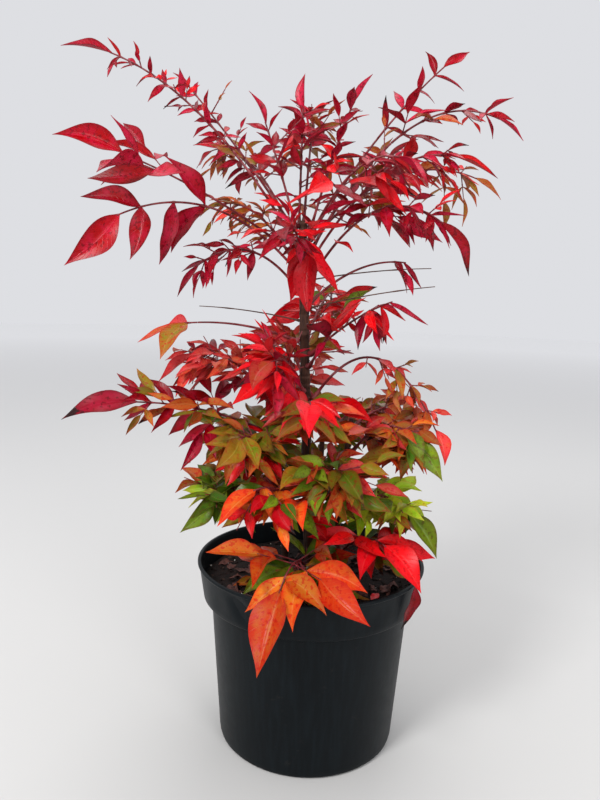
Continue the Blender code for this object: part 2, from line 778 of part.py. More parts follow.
def spray_name(leaf):
    """The name of a compound leaf's leafy piece."""
    return "spray_" + leaf.name


def build_spray_limb(leaf, group, material):
    """The limb of a spray: the leafy stretch, and the bare one where it has no bough."""
    if leaf.bough:
        run = (Vector(leaf.tip) - limb_start(leaf)[0]).length
        shares = [bough_share(leaf) + TOUCHING_GAP / run]
    else:
        shares = [leaf.bare * i / BARE_POINTS for i in range(BARE_POINTS)]
    shares += pair_shares(leaf) + [1.0]
    points, radii = limb_stretch(leaf, shares, not leaf.bough)
    guide = tube_object("guide", points, radii, SPRAY_LIMB_SIDES, group)
    mesh = evaluated_mesh(guide)
    bpy.data.objects.remove(guide)
    shape = bmesh.new()
    shape.from_mesh(mesh)
    bmesh.ops.remove_doubles(shape, verts=shape.verts[:], dist=MERGE_DISTANCE)
    shape.to_mesh(mesh)
    shape.free()
    return add_object(spray_name(leaf), mesh, group, material)


def grow_spray(leaf, spray, material, surroundings):
    """Grow the stalks and leaflets of a spray and fuse them with its limb."""
    parts = new_collection(spray.name + "_parts")
    for piece in spray_pieces(leaf, random.Random(leaf.seed), surroundings):
        piece_object(piece, parts)
    join = spray.modifiers.new("join", "BOOLEAN")
    join.operation = "UNION"
    join.operand_type = "COLLECTION"
    join.collection = parts
    join.solver = "EXACT"
    joined = evaluated_mesh(spray)
    drop_scraps(joined)
    spray.modifiers.clear()
    spray.data = joined
    joined.materials.clear()
    joined.materials.append(material)
    for piece in list(parts.objects):
        bpy.data.objects.remove(piece)
    bpy.data.collections.remove(parts)


def main():
    """Build the pot, the soil, the stems and every compound leaf."""
    remove_everything()
    group = new_collection(OBJECT_NAME)
    cutters = new_collection("cutters")
    plastic = finish_material("black_nursery_plastic", (0.020, 0.024, 0.027), 0.50)
    compost = finish_material("dark_compost", (0.035, 0.020, 0.016), 0.95)
    bark = finish_material("brown_bark", (0.060, 0.022, 0.018), 0.75)
    rachis = finish_material("crimson_rachis", (0.180, 0.020, 0.025), 0.55)
    foliage = {
        tint: finish_material(tint + "_foliage", colour, LEAF_ROUGHNESS) for tint, colour in TINTS.items()
    }
    surroundings = Surroundings()
    surroundings.add(build_pot(group, cutters, plastic))
    surroundings.add(build_soil(group, compost))
    surroundings.add(build_cane(group, bark))
    for name in SIDE_STEMS:
        surroundings.add(build_side_stem(name, group, bark))
    for leaf in COMPOUND_LEAVES:
        if leaf.bough:
            surroundings.add(build_bough(leaf, group, rachis))
    sprays = [build_spray_limb(leaf, group, foliage[leaf.tint]) for leaf in COMPOUND_LEAVES]
    for spray in sprays:
        surroundings.add(spray)
    for leaf, spray in zip(COMPOUND_LEAVES, sprays):
        grow_spray(leaf, spray, foliage[leaf.tint], surroundings)
        surroundings.add(spray)


main()
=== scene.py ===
"""Dress the potted heavenly bamboo: pot, compost, canes, limbs and autumn foliage."""

import logging
import math
import random
from dataclasses import astuple, dataclass, field
from enum import Enum
from functools import partial

import bmesh
import bpy
from mathutils import Matrix, Vector, noise
from mathutils.bvhtree import BVHTree


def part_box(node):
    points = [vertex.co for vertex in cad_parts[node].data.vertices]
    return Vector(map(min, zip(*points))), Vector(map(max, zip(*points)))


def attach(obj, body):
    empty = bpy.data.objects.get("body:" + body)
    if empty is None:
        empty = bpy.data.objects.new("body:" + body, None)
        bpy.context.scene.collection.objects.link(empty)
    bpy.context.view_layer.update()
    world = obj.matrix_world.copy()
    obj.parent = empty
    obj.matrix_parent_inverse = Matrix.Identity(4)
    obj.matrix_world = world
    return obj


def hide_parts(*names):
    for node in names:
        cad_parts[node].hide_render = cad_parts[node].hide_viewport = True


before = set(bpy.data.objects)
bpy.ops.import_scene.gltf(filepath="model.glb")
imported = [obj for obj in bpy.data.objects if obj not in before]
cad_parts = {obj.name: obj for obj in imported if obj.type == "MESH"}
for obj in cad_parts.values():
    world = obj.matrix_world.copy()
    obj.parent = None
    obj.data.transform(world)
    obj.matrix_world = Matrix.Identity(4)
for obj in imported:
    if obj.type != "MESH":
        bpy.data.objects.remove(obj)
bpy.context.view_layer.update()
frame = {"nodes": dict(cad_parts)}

BODY = "root"
log = logging.getLogger("potted_heavenly_bamboo")

MM = 0.001
UP = Vector((0.0, 0.0, 1.0))
SIDEWAYS = Vector((1.0, 0.0, 0.0))
MERGE_DISTANCE = 1e-6

# The solids' own sizes, in metres, that the growth rule starts from
TOUCHING_GAP = 0.0003
SOIL_TOP = 0.138
CANE_FOOT_RADIUS = 0.0072
CANE_RADIUS = 0.0046
CANE_TIP_RADIUS = 0.0034
CANE_TOP = 0.430
CANE_LEAN = -0.0155
CANE_FLARE_HEIGHT = 0.016
CANE_BEND = 0.85
CANE_SWAY = 0.0012
NODE_SWELL = 1.10
STEM_FOOT_RADIUS = 0.0034
STEM_TIP_RADIUS = 0.0018
STEM_BEND = 1.5
LIMB_RADIUS = 0.00115
LIMB_TIP_RADIUS = 0.00055
BOUGH_SHARE = 0.94
FIRST_PAIR = 0.3
LIMB_STUB = 0.0026
STALK_RADIUS = 0.00052
STALK_TIP_RADIUS = 0.00036
STALK_ANGLE = math.radians(54)
LEAFLET_ANGLE = math.radians(50)
PAIR_SHARE = 0.48
ROLL_RANGE = 22
STEEP_SINE = 0.2
LEAFLET_ROOT = 0.0022
SIDE_ROOT = 0.0003
LEAF_DROOP_SHARE = 0.14
LEAF_TAPER = 0.2
LIGHT = Vector((0.0, -1.0, 0.0))

# The growth rule's seeded variation, as least and most
REACH_RANGE = (0.85, 1.15)
SPREAD_RANGE = (0.80, 1.15)
LENGTH_RANGE = (0.80, 1.15)
LIFT_RANGE = (-0.05, 0.20)
DROOP_RANGE = (0.40, 1.40)
LEAN_RANGE = (-0.50, 0.50)
END_DROOP_RANGE = (0.30, 0.80)
END_LEAN_RANGE = (-0.30, 0.30)


class Stem(Enum):
    """What a compound leaf grows from."""

    CANE = "cane"
    LEFT = "stem_left"
    RIGHT = "stem_right"
    BACK = "stem_back"
    FRONT = "stem_front"


class Tint(Enum):
    """The autumn tints, one to a compound leaf. Each is also a slot of the record."""

    CRIMSON = "crimson"
    SCARLET = "scarlet"
    SALMON = "salmon"
    ORANGE = "orange"
    BRONZE = "bronze"
    OLIVE = "olive"
    GREEN = "green"
    LIME = "lime"

    @property
    def slot(self) -> str:
        """The record's slot for this tint."""
        return self.value + "_foliage"


class Slot(Enum):
    """The record's other slots."""

    POT = "pot"
    COMPOST = "compost"
    BARK = "bark"
    RACHIS = "rachis"


@dataclass(frozen=True)
class Leaf:
    """One compound leaf.

    It leaves a stem at a height and runs to its tip, with its middle control point raised by
    rise, and is bare over the first share of its length. The leafy rest has pairs of
    leaflets, and the first few pairs stand on side stalks of about reach, in threes. An end
    leaflet closes the limb. Droop bends the leaflets down, facing turns their upper sides to
    the light, and roll turns the plane that the pairs lie in about the limb, in degrees. A
    bough is a bare stretch that is its own piece.
    """

    name: str
    stem: Stem
    height: float
    tip: tuple[float, float, float]
    tint: Tint
    seed: int
    bough: bool = False
    rise: float = 0.020
    bare: float = 0.20
    pairs: int = 4
    stalked: int = 1
    reach: float = 0.026
    leaflet: float = 0.036
    end: float = 0.038
    droop: float = 0.5
    roll: float = 20.0
    facing: float = 0.9


COMPOUND_LEAVES: tuple[Leaf, ...] = (
    Leaf(
        "large_upper", Stem.CANE, 0.403, (-0.142, -0.066, 0.466), Tint.CRIMSON, 0, bough=True, rise=0.012,
        bare=0.72, pairs=2, reach=0.030, leaflet=0.040, end=0.046, droop=0.1, roll=50, facing=1.6,
    ),
    Leaf(
        "large_lower", Stem.CANE, 0.391, (-0.140, -0.084, 0.422), Tint.CRIMSON, 1, bough=True, rise=0.052,
        bare=0.50, pairs=3, stalked=0, leaflet=0.050, end=0.050, droop=0.6, roll=80, facing=1.8,
    ),
    Leaf(
        "long_left", Stem.CANE, 0.413, (-0.158, -0.030, 0.541), Tint.CRIMSON, 2, bough=True, rise=0.044,
        bare=0.38, pairs=8, reach=0.012, leaflet=0.019, end=0.036, droop=0.3, roll=60,
    ),
    Leaf(
        "second_left", Stem.CANE, 0.423, (-0.107, 0.005, 0.529), Tint.CRIMSON, 3, bough=True, rise=0.006,
        bare=0.50, pairs=5, stalked=0, leaflet=0.017, end=0.018, droop=0.1, roll=60,
    ),
    Leaf(
        "high_right", Stem.CANE, 0.420, (0.093, 0.020, 0.554), Tint.CRIMSON, 4, bough=True, bare=0.52,
        stalked=0, leaflet=0.028, end=0.026, droop=0.2, roll=60,
    ),
    Leaf(
        "far_right", Stem.CANE, 0.408, (0.128, -0.020, 0.506), Tint.CRIMSON, 5, bough=True, rise=0.080,
        bare=0.45, pairs=5, reach=0.022, leaflet=0.028, end=0.026, droop=0.2, roll=30,
    ),
    Leaf(
        "mid_right", Stem.CANE, 0.399, (0.092, -0.045, 0.474), Tint.CRIMSON, 6, bough=True, rise=0.050,
        bare=0.36, pairs=5, reach=0.022, leaflet=0.030, end=0.036, droop=0.3, roll=30,
    ),
    Leaf(
        "low_right", Stem.CANE, 0.384, (0.080, -0.078, 0.424), Tint.CRIMSON, 7, bough=True, rise=0.060,
        bare=0.42, reach=0.020, leaflet=0.034, end=0.042, droop=0.8, roll=30,
    ),
    Leaf(
        "droop_left", Stem.CANE, 0.378, (-0.092, -0.046, 0.391), Tint.CRIMSON, 8, rise=0.040, bare=0.42,
        pairs=5, stalked=0, leaflet=0.024, end=0.028, droop=0.9, roll=30,
    ),
    Leaf(
        "back_left", Stem.CANE, 0.410, (-0.100, 0.095, 0.498), Tint.CRIMSON, 9, rise=0.050, bare=0.38,
        stalked=0, leaflet=0.032, end=0.034, droop=0.3, roll=30,
    ),
    Leaf(
        "back_right", Stem.CANE, 0.404, (0.080, 0.105, 0.496), Tint.CRIMSON, 10, rise=0.050, bare=0.38,
        stalked=0, leaflet=0.032, end=0.034, droop=0.3, roll=30,
    ),
    Leaf(
        "bare_left", Stem.CANE, 0.336, (-0.108, -0.028, 0.348), Tint.SALMON, 11, bough=True, rise=0.012,
        bare=0.90, pairs=1, stalked=0, leaflet=0.038, end=0.036, roll=10,
    ),
    Leaf(
        "bare_right", Stem.CANE, 0.368, (0.063, -0.030, 0.399), Tint.CRIMSON, 12, bare=0.84, pairs=1,
        stalked=0, leaflet=0.026, end=0.024, droop=1.4, roll=0,
    ),
    Leaf(
        "low_left_arm", Stem.LEFT, 0.262, (-0.134, -0.062, 0.292), Tint.CRIMSON, 13, rise=0.012, bare=0.35,
        reach=0.022, leaflet=0.037, end=0.054, droop=0.25, roll=50, facing=1.3,
    ),
    Leaf(
        "trailing_right", Stem.CANE, 0.290, (0.094, -0.030, 0.270), Tint.SALMON, 14, rise=0.090, bare=0.48,
        stalked=0, leaflet=0.026, end=0.030, roll=0,
    ),
    Leaf(
        "front_middle", Stem.CANE, 0.393, (-0.022, -0.074, 0.418), Tint.CRIMSON, 15, rise=0.014, bare=0.40,
        pairs=3, reach=0.028, leaflet=0.030, end=0.036, droop=0.3, roll=0,
    ),
    Leaf(
        "column_front", Stem.CANE, 0.410, (-0.010, -0.046, 0.402), Tint.CRIMSON, 16, rise=0.016, bare=0.50,
        pairs=2, stalked=0, leaflet=0.044, end=0.048, droop=1.6, roll=0,
    ),
    Leaf(
        "spill_front", Stem.FRONT, 0.156, (-0.024, -0.094, 0.162), Tint.ORANGE, 17, rise=0.028, bare=0.45,
        pairs=2, reach=0.028, leaflet=0.044, end=0.060, droop=0.4, roll=10,
    ),
    Leaf(
        "spill_right", Stem.RIGHT, 0.162, (0.054, -0.070, 0.190), Tint.SCARLET, 18, bare=0.45, pairs=2,
        leaflet=0.044, end=0.046, droop=0.3, roll=0,
    ),
    Leaf(
        "clasp_right", Stem.CANE, 0.326, (0.052, -0.048, 0.370), Tint.CRIMSON, 119, rise=0.010, bare=0.62,
        pairs=2, reach=0.014, leaflet=0.030, end=0.034, droop=1.4, roll=0,
    ),
    Leaf(
        "upright_right", Stem.CANE, 0.316, (0.012, -0.038, 0.350), Tint.CRIMSON, 20, rise=0.004, bare=0.60,
        pairs=2, stalked=0, leaflet=0.038, end=0.042, droop=-0.2, roll=0,
    ),
    Leaf(
        "top_left", Stem.CANE, 0.426, (-0.046, -0.016, 0.500), Tint.CRIMSON, 21, rise=0.004, bare=0.40,
        stalked=0, leaflet=0.028, end=0.026, droop=0.1, roll=30,
    ),
    Leaf(
        "top_middle", Stem.CANE, 0.427, (-0.018, 0.005, 0.516), Tint.CRIMSON, 22, rise=0.004, bare=0.30,
        pairs=5, reach=0.020, leaflet=0.029, end=0.028, droop=0.2, roll=40,
    ),
    Leaf(
        "top_right", Stem.CANE, 0.425, (0.022, 0.010, 0.524), Tint.CRIMSON, 23, rise=0.010, bare=0.30,
        pairs=5, reach=0.020, leaflet=0.030, end=0.028, droop=0.3, roll=30,
    ),
    Leaf(
        "front_high", Stem.CANE, 0.414, (0.048, -0.080, 0.466), Tint.CRIMSON, 24, rise=0.040, bare=0.30,
        reach=0.022, leaflet=0.034, end=0.034, droop=0.4, roll=0,
    ),
    Leaf(
        "olive_right", Stem.CANE, 0.416, (0.125, 0.026, 0.470), Tint.BRONZE, 25, rise=0.050, bare=0.25,
        pairs=5, reach=0.024, leaflet=0.029, end=0.030, droop=0.3,
    ),
    Leaf(
        "olive_left", Stem.CANE, 0.396, (-0.082, 0.010, 0.442), Tint.BRONZE, 26, rise=0.030, bare=0.25,
        pairs=5, reach=0.020, leaflet=0.022, end=0.022, droop=0.3,
    ),
    Leaf(
        "back_high", Stem.CANE, 0.428, (-0.008, 0.070, 0.524), Tint.CRIMSON, 27, rise=0.030, bare=0.30,
        stalked=0, leaflet=0.032, end=0.032, droop=0.2, roll=30,
    ),
    Leaf(
        "red_top", Stem.CANE, 0.296, (-0.034, -0.076, 0.326), Tint.SCARLET, 28, bare=0.30, stalked=2,
        leaflet=0.034, end=0.040, roll=50,
    ),
    Leaf(
        "red_left", Stem.LEFT, 0.290, (-0.098, -0.032, 0.325), Tint.SALMON, 29, rise=0.028, bare=0.15,
        pairs=5, reach=0.024, leaflet=0.032, end=0.034, droop=0.4,
    ),
    Leaf(
        "green_left", Stem.LEFT, 0.205, (-0.078, -0.058, 0.220), Tint.GREEN, 30, stalked=2, end=0.036,
        droop=0.35, roll=0,
    ),
    Leaf(
        "green_middle", Stem.LEFT, 0.238, (-0.056, -0.080, 0.270), Tint.OLIVE, 31, stalked=2, end=0.036,
        droop=0.35, roll=0,
    ),
    Leaf(
        "orange_front", Stem.FRONT, 0.202, (-0.044, -0.090, 0.236), Tint.ORANGE, 32, pairs=3, reach=0.028,
        leaflet=0.038, end=0.040, droop=0.45, roll=0,
    ),
    Leaf(
        "red_front", Stem.CANE, 0.272, (-0.006, -0.088, 0.298), Tint.SCARLET, 33, rise=0.014, bare=0.25,
        leaflet=0.037, end=0.042, roll=0,
    ),
    Leaf(
        "olive_front", Stem.FRONT, 0.216, (0.018, -0.086, 0.250), Tint.OLIVE, 34, bare=0.15, stalked=2,
        reach=0.028, end=0.036, droop=0.4, roll=0,
    ),
    Leaf(
        "lime_right", Stem.RIGHT, 0.198, (0.074, -0.048, 0.208), Tint.LIME, 135, rise=0.030, reach=0.024,
        leaflet=0.038, end=0.040, droop=0.4, roll=0,
    ),
    Leaf(
        "orange_right", Stem.RIGHT, 0.250, (0.076, -0.050, 0.268), Tint.ORANGE, 36, rise=0.030, bare=0.15,
        leaflet=0.037, droop=0.4, roll=0,
    ),
    Leaf("side_left", Stem.LEFT, 0.238, (-0.090, 0.022, 0.250), Tint.OLIVE, 37, rise=0.030, leaflet=0.037),
    Leaf("side_right", Stem.RIGHT, 0.270, (0.088, 0.036, 0.262), Tint.BRONZE, 38, rise=0.030, leaflet=0.037),
    Leaf(
        "rear_left", Stem.BACK, 0.276, (-0.050, 0.096, 0.296), Tint.SALMON, 39, rise=0.026, bare=0.15,
        reach=0.028, leaflet=0.038,
    ),
    Leaf(
        "rear_right", Stem.BACK, 0.248, (0.060, 0.094, 0.256), Tint.OLIVE, 40, rise=0.030, bare=0.15,
        reach=0.028, leaflet=0.038,
    ),
    Leaf(
        "rear_middle", Stem.CANE, 0.336, (0.016, 0.088, 0.376), Tint.SCARLET, 42, bare=0.25, pairs=3,
        reach=0.028, leaflet=0.038,
    ),
    Leaf(
        "rear_red", Stem.CANE, 0.300, (-0.030, 0.074, 0.336), Tint.SALMON, 43, bare=0.25, pairs=3,
        reach=0.028, leaflet=0.038,
    ),
    Leaf(
        "rear_low", Stem.BACK, 0.200, (-0.004, 0.092, 0.206), Tint.GREEN, 141, rise=0.030, pairs=3,
        reach=0.028, leaflet=0.038, droop=0.6,
    ),
)


def linear(code: str) -> tuple[float, float, float, float]:
    """Turn an sRGB hex colour to linear.

    Args:
        code: the colour as six hex digits after a hash sign.

    Returns:
        Linear red, green, blue and an alpha of one.
    """
    shares = [int(code[i : i + 2], 16) / 255 for i in (1, 3, 5)]
    lit = [s / 12.92 if s <= 0.04045 else ((s + 0.055) / 1.055) ** 2.4 for s in shares]
    return (lit[0], lit[1], lit[2], 1.0)


def add_node(
    tree: bpy.types.NodeTree, kind: str, settings: dict, links: dict | None = None
) -> bpy.types.Node:
    """Add a shader node with its settings and links.

    Args:
        tree: the material's or the world's node tree.
        kind: the node's type.
        settings: values by name. A lower-case name is the node's own property, and any
            other name or number is an input socket.
        links: output sockets by the name or number of the input that they feed.

    Returns:
        The new node.
    """
    node = tree.nodes.new(kind)
    for key, value in settings.items():
        if isinstance(key, str) and key.islower():
            setattr(node, key, value)
        else:
            node.inputs[key].default_value = value
    for key, source in (links or {}).items():
        tree.links.new(source, node.inputs[key])
    return node


def scale_for(size_mm: float) -> float:
    """The scale of a noise on Object coordinates whose features are size_mm across."""
    return 1.0 / (size_mm * MM)


# The sockets of a Mix node that is set to colours, and a Map Range node's soft ends
MIX_FACTOR, MIX_A, MIX_B, MIX_RESULT = 0, 6, 7, 2
SOFT_RAMP = {"interpolation_type": "SMOOTHSTEP"}


@dataclass(frozen=True)
class Finish:
    """What all finishes share: a name and a Principled surface.

    A finish's colours, roughness and relief are its own methods' work.
    """

    name: str

    def material(self) -> bpy.types.Material:
        """Make the material, or find it if a piece has it already.

        Returns:
            The material, with its nodes linked.
        """
        made = bpy.data.materials.get(self.name)
        if made is not None:
            return made
        made = bpy.data.materials.new(self.name)
        made.use_nodes = True
        tree = made.node_tree
        surface = tree.nodes["Principled BSDF"]
        surface.inputs["Metallic"].default_value = 0.0
        self.paint(tree, surface)
        return made

    def paint(self, tree: bpy.types.NodeTree, surface: bpy.types.Node) -> None:
        """Link the finish's colour, roughness and relief to the surface."""
        raise NotImplementedError


@dataclass(frozen=True)
class WaxyLeaf(Finish):
    """A living leaf blade with a thin natural wax.

    The wax gives a soft broad gloss. The midrib and veins are paler and stand in shallow
    grooves, the colour drifts from one leaflet to the next and in patches over a blade,
    and the underside is paler and duller. Margin and tip have a deeper blush, which stands
    in small blotches over the blade too. The tips of the darkest, oldest leaflets have
    dried to a ragged brownish black. A share says how much of one colour another takes on,
    and a range is where on the blade it sets in and where it is full.
    """

    main: str = "#a01020"
    second: str = "#c02040"
    blush: str = "#600818"
    vein: str = "#d05060"
    scorch: str = "#1c0c0a"
    scorched_below: float = 0.70
    roughness: float = 0.20
    roughness_gain: float = 0.22
    specular: float = 0.20
    ior: float = 1.42
    patch_mm: float = 8.0
    patch_drift: float = 2.2
    speck_mm: float = 2.8
    speck_range: tuple[float, float] = (0.56, 0.63)
    speck_share: float = 0.75
    margin_range: tuple[float, float] = (0.55, 1.05)
    margin_share: float = 0.65
    tip_range: tuple[float, float] = (0.55, 1.0)
    tip_share: float = 0.55
    vein_steps: float = 11.0
    vein_slant: float = 2.4
    rib_range: tuple[float, float] = (0.10, 0.03)
    vein_range: tuple[float, float] = (0.10, 0.02)
    vein_depth: float = 0.30
    rib_share: float = 0.22
    under_share: float = 0.20
    scorch_range: tuple[float, float] = (1.24, 1.36)
    scorch_waver: float = 0.9
    scorch_fade: float = 0.05
    groove_mm: float = 0.4

    def paint(self, tree: bpy.types.NodeTree, surface: bpy.types.Node) -> None:
        """Link the blade's colours, wax and vein relief, by the attributes on its corners.

        Args:
            tree: the material's node tree.
            surface: its Principled node.
        """
        add = partial(add_node, tree)
        blade = add("ShaderNodeAttribute", {"attribute_name": Blade.PLACE})
        leaf = add("ShaderNodeAttribute", {"attribute_name": Blade.CHARACTER})
        place = add("ShaderNodeSeparateXYZ", {}, {0: blade.outputs["Vector"]})
        traits = add("ShaderNodeSeparateXYZ", {}, {0: leaf.outputs["Vector"]})
        across = add("ShaderNodeMath", {"operation": "ABSOLUTE"}, {0: place.outputs[0]})
        along, under = place.outputs[1], place.outputs[2]
        tone, age = traits.outputs[0], traits.outputs[1]
        objects = add("ShaderNodeTexCoord", {})
        patches = add(
            "ShaderNodeTexNoise",
            {"Scale": scale_for(self.patch_mm), "Detail": 3.0, "Roughness": 0.6},
            {"Vector": objects.outputs["Object"]},
        )
        drift = add(
            "ShaderNodeMath",
            {"operation": "MULTIPLY_ADD", 1: self.patch_drift, 2: -self.patch_drift / 2},
            {0: patches.outputs["Fac"]},
        )
        ageing = add(
            "ShaderNodeMath", {"operation": "ADD", "use_clamp": True},
            {0: age, 1: drift.outputs[0]},
        )
        body = add(
            "ShaderNodeMix",
            {"data_type": "RGBA", MIX_A: linear(self.main), MIX_B: linear(self.second)},
            {MIX_FACTOR: ageing.outputs[0]},
        )
        margin = add(
            "ShaderNodeMapRange",
            {
                **SOFT_RAMP, "From Min": self.margin_range[0], "From Max": self.margin_range[1],
                "To Max": self.margin_share,
            },
            {"Value": across.outputs[0]},
        )
        tip = add(
            "ShaderNodeMapRange",
            {
                **SOFT_RAMP, "From Min": self.tip_range[0], "From Max": self.tip_range[1],
                "To Max": self.tip_share,
            },
            {"Value": along},
        )
        edge = add(
            "ShaderNodeMath", {"operation": "MAXIMUM"},
            {0: margin.outputs["Result"], 1: tip.outputs["Result"]},
        )
        blushed = add(
            "ShaderNodeMix", {"data_type": "RGBA", MIX_B: linear(self.blush)},
            {MIX_FACTOR: edge.outputs[0], MIX_A: body.outputs[MIX_RESULT]},
        )
        midrib = add(
            "ShaderNodeMapRange",
            {**SOFT_RAMP, "From Min": self.rib_range[0], "From Max": self.rib_range[1]},
            {"Value": across.outputs[0]},
        )
        slant = add(
            "ShaderNodeMath", {"operation": "MULTIPLY_ADD", 1: -self.vein_slant},
            {0: across.outputs[0]},
        )
        steps = add("ShaderNodeMath", {"operation": "MULTIPLY", 1: self.vein_steps}, {0: along})
        tree.links.new(steps.outputs[0], slant.inputs[2])
        ripple = add("ShaderNodeMath", {"operation": "PINGPONG", 1: 0.5}, {0: slant.outputs[0]})
        side_veins = add(
            "ShaderNodeMapRange",
            {
                **SOFT_RAMP, "From Min": self.vein_range[0], "From Max": self.vein_range[1],
                "To Max": self.vein_depth,
            },
            {"Value": ripple.outputs[0]},
        )
        ribs = add(
            "ShaderNodeMath", {"operation": "MAXIMUM"},
            {0: midrib.outputs["Result"], 1: side_veins.outputs["Result"]},
        )
        rib_share = add(
            "ShaderNodeMath", {"operation": "MULTIPLY", 1: self.rib_share}, {0: ribs.outputs[0]},
        )
        veined = add(
            "ShaderNodeMix", {"data_type": "RGBA", MIX_B: linear(self.vein)},
            {MIX_FACTOR: rib_share.outputs[0], MIX_A: blushed.outputs[MIX_RESULT]},
        )
        paler = add("ShaderNodeMath", {"operation": "MULTIPLY", 1: self.under_share}, {0: under})
        backed = add(
            "ShaderNodeMix", {"data_type": "RGBA", MIX_B: linear(self.vein)},
            {MIX_FACTOR: paler.outputs[0], MIX_A: veined.outputs[MIX_RESULT]},
        )
        grit = add(
            "ShaderNodeTexNoise", {"Scale": scale_for(self.speck_mm), "Detail": 3.0},
            {"Vector": objects.outputs["Object"]},
        )
        specks = add(
            "ShaderNodeMapRange",
            {
                **SOFT_RAMP, "From Min": self.speck_range[0], "From Max": self.speck_range[1],
                "To Max": self.speck_share,
            },
            {"Value": grit.outputs["Fac"]},
        )
        specked = add(
            "ShaderNodeMix", {"data_type": "RGBA", MIX_B: linear(self.blush)},
            {MIX_FACTOR: specks.outputs["Result"], MIX_A: backed.outputs[MIX_RESULT]},
        )
        shade = add("ShaderNodeHueSaturation", {}, {"Color": specked.outputs[MIX_RESULT], "Value": tone})
        ragged = add(
            "ShaderNodeMath", {"operation": "MULTIPLY_ADD", 1: self.scorch_waver},
            {0: patches.outputs["Fac"], 2: along},
        )
        dried = add(
            "ShaderNodeMapRange",
            {**SOFT_RAMP, "From Min": self.scorch_range[0], "From Max": self.scorch_range[1]},
            {"Value": ragged.outputs[0]},
        )
        oldest = add(
            "ShaderNodeMapRange",
            {"From Min": self.scorched_below, "From Max": self.scorched_below - self.scorch_fade},
            {"Value": tone},
        )
        burn = add(
            "ShaderNodeMath", {"operation": "MULTIPLY"},
            {0: dried.outputs["Result"], 1: oldest.outputs["Result"]},
        )
        scorched = add(
            "ShaderNodeMix", {"data_type": "RGBA", MIX_B: linear(self.scorch)},
            {MIX_FACTOR: burn.outputs[0], MIX_A: shade.outputs["Color"]},
        )
        wax = add(
            "ShaderNodeMapRange",
            {"To Min": self.roughness, "To Max": self.roughness + self.roughness_gain},
            {"Value": patches.outputs["Fac"]},
        )
        dull = add(
            "ShaderNodeMath",
            {"operation": "MULTIPLY_ADD", 1: self.under_share, "use_clamp": True},
            {0: under, 2: wax.outputs["Result"]},
        )
        relief = add(
            "ShaderNodeBump",
            {"invert": True, "Strength": 0.5, "Distance": self.groove_mm * MM},
            {"Height": ribs.outputs[0]},
        )
        tree.links.new(scorched.outputs[MIX_RESULT], surface.inputs["Base Color"])
        tree.links.new(dull.outputs[0], surface.inputs["Roughness"])
        tree.links.new(relief.outputs["Normal"], surface.inputs["Normal"])
        surface.inputs["IOR"].default_value = self.ior
        surface.inputs["Specular IOR Level"].default_value = self.specular


# The living leaves by tint. Young tints, from salmon to lime, have no scorched tips
LEAF_FINISHES: dict[Tint, WaxyLeaf] = {
    # A deep wine red with darker margins, which looks heavy against the light. Its rose second colour, mixed
    # in by age and in patches, is partly the leaflets' own tone and partly painted sheen
    Tint.CRIMSON: WaxyLeaf(
        "waxy_crimson_leaf", main="#960006", second="#b61438", blush="#660008", vein="#d02a4a"
    ),
    # A clear bright red that glows among the darker leaves
    Tint.SCARLET: WaxyLeaf(
        "waxy_scarlet_leaf", main="#da040c", second="#d81424", blush="#ac020a", vein="#ec5050"
    ),
    # A soft pinkish red that browns in patches, as in leaves that are still turning
    Tint.SALMON: WaxyLeaf(
        "waxy_salmon_leaf", main="#d8383a", second="#b85224", blush="#bc0a1a", vein="#ec9c90",
        scorched_below=0.0,
    ),
    # A warm orange with yellower patches, red margins and red blotches
    Tint.ORANGE: WaxyLeaf(
        "waxy_orange_leaf", main="#dc3c14", second="#ce7a22", blush="#c8180e", vein="#f0a060",
        scorched_below=0.0,
    ),
    # A brownish orange that fades to olive, dull between the reds and the greens
    Tint.BRONZE: WaxyLeaf(
        "waxy_bronze_leaf", main="#a84c1c", second="#7a6a1a", blush="#a0160e", vein="#d0965a"
    ),
    # A dull yellowish green that browns at its margins
    Tint.OLIVE: WaxyLeaf(
        "waxy_olive_leaf", main="#5a6a10", second="#8c6216", blush="#8a3a14", vein="#a8a444"
    ),
    # The fresh green of leaves that have not turned, low in the shade
    Tint.GREEN: WaxyLeaf(
        "waxy_green_leaf", main="#426614", second="#788a18", blush="#5c4c18", vein="#94ac48",
        scorched_below=0.0,
    ),
    # A bright yellowish green, the lightest of the crown
    Tint.LIME: WaxyLeaf(
        "waxy_lime_leaf", main="#8eb01c", second="#bcb42c", blush="#9c8424", vein="#ccd868",
        scorched_below=0.0,
    ),
}


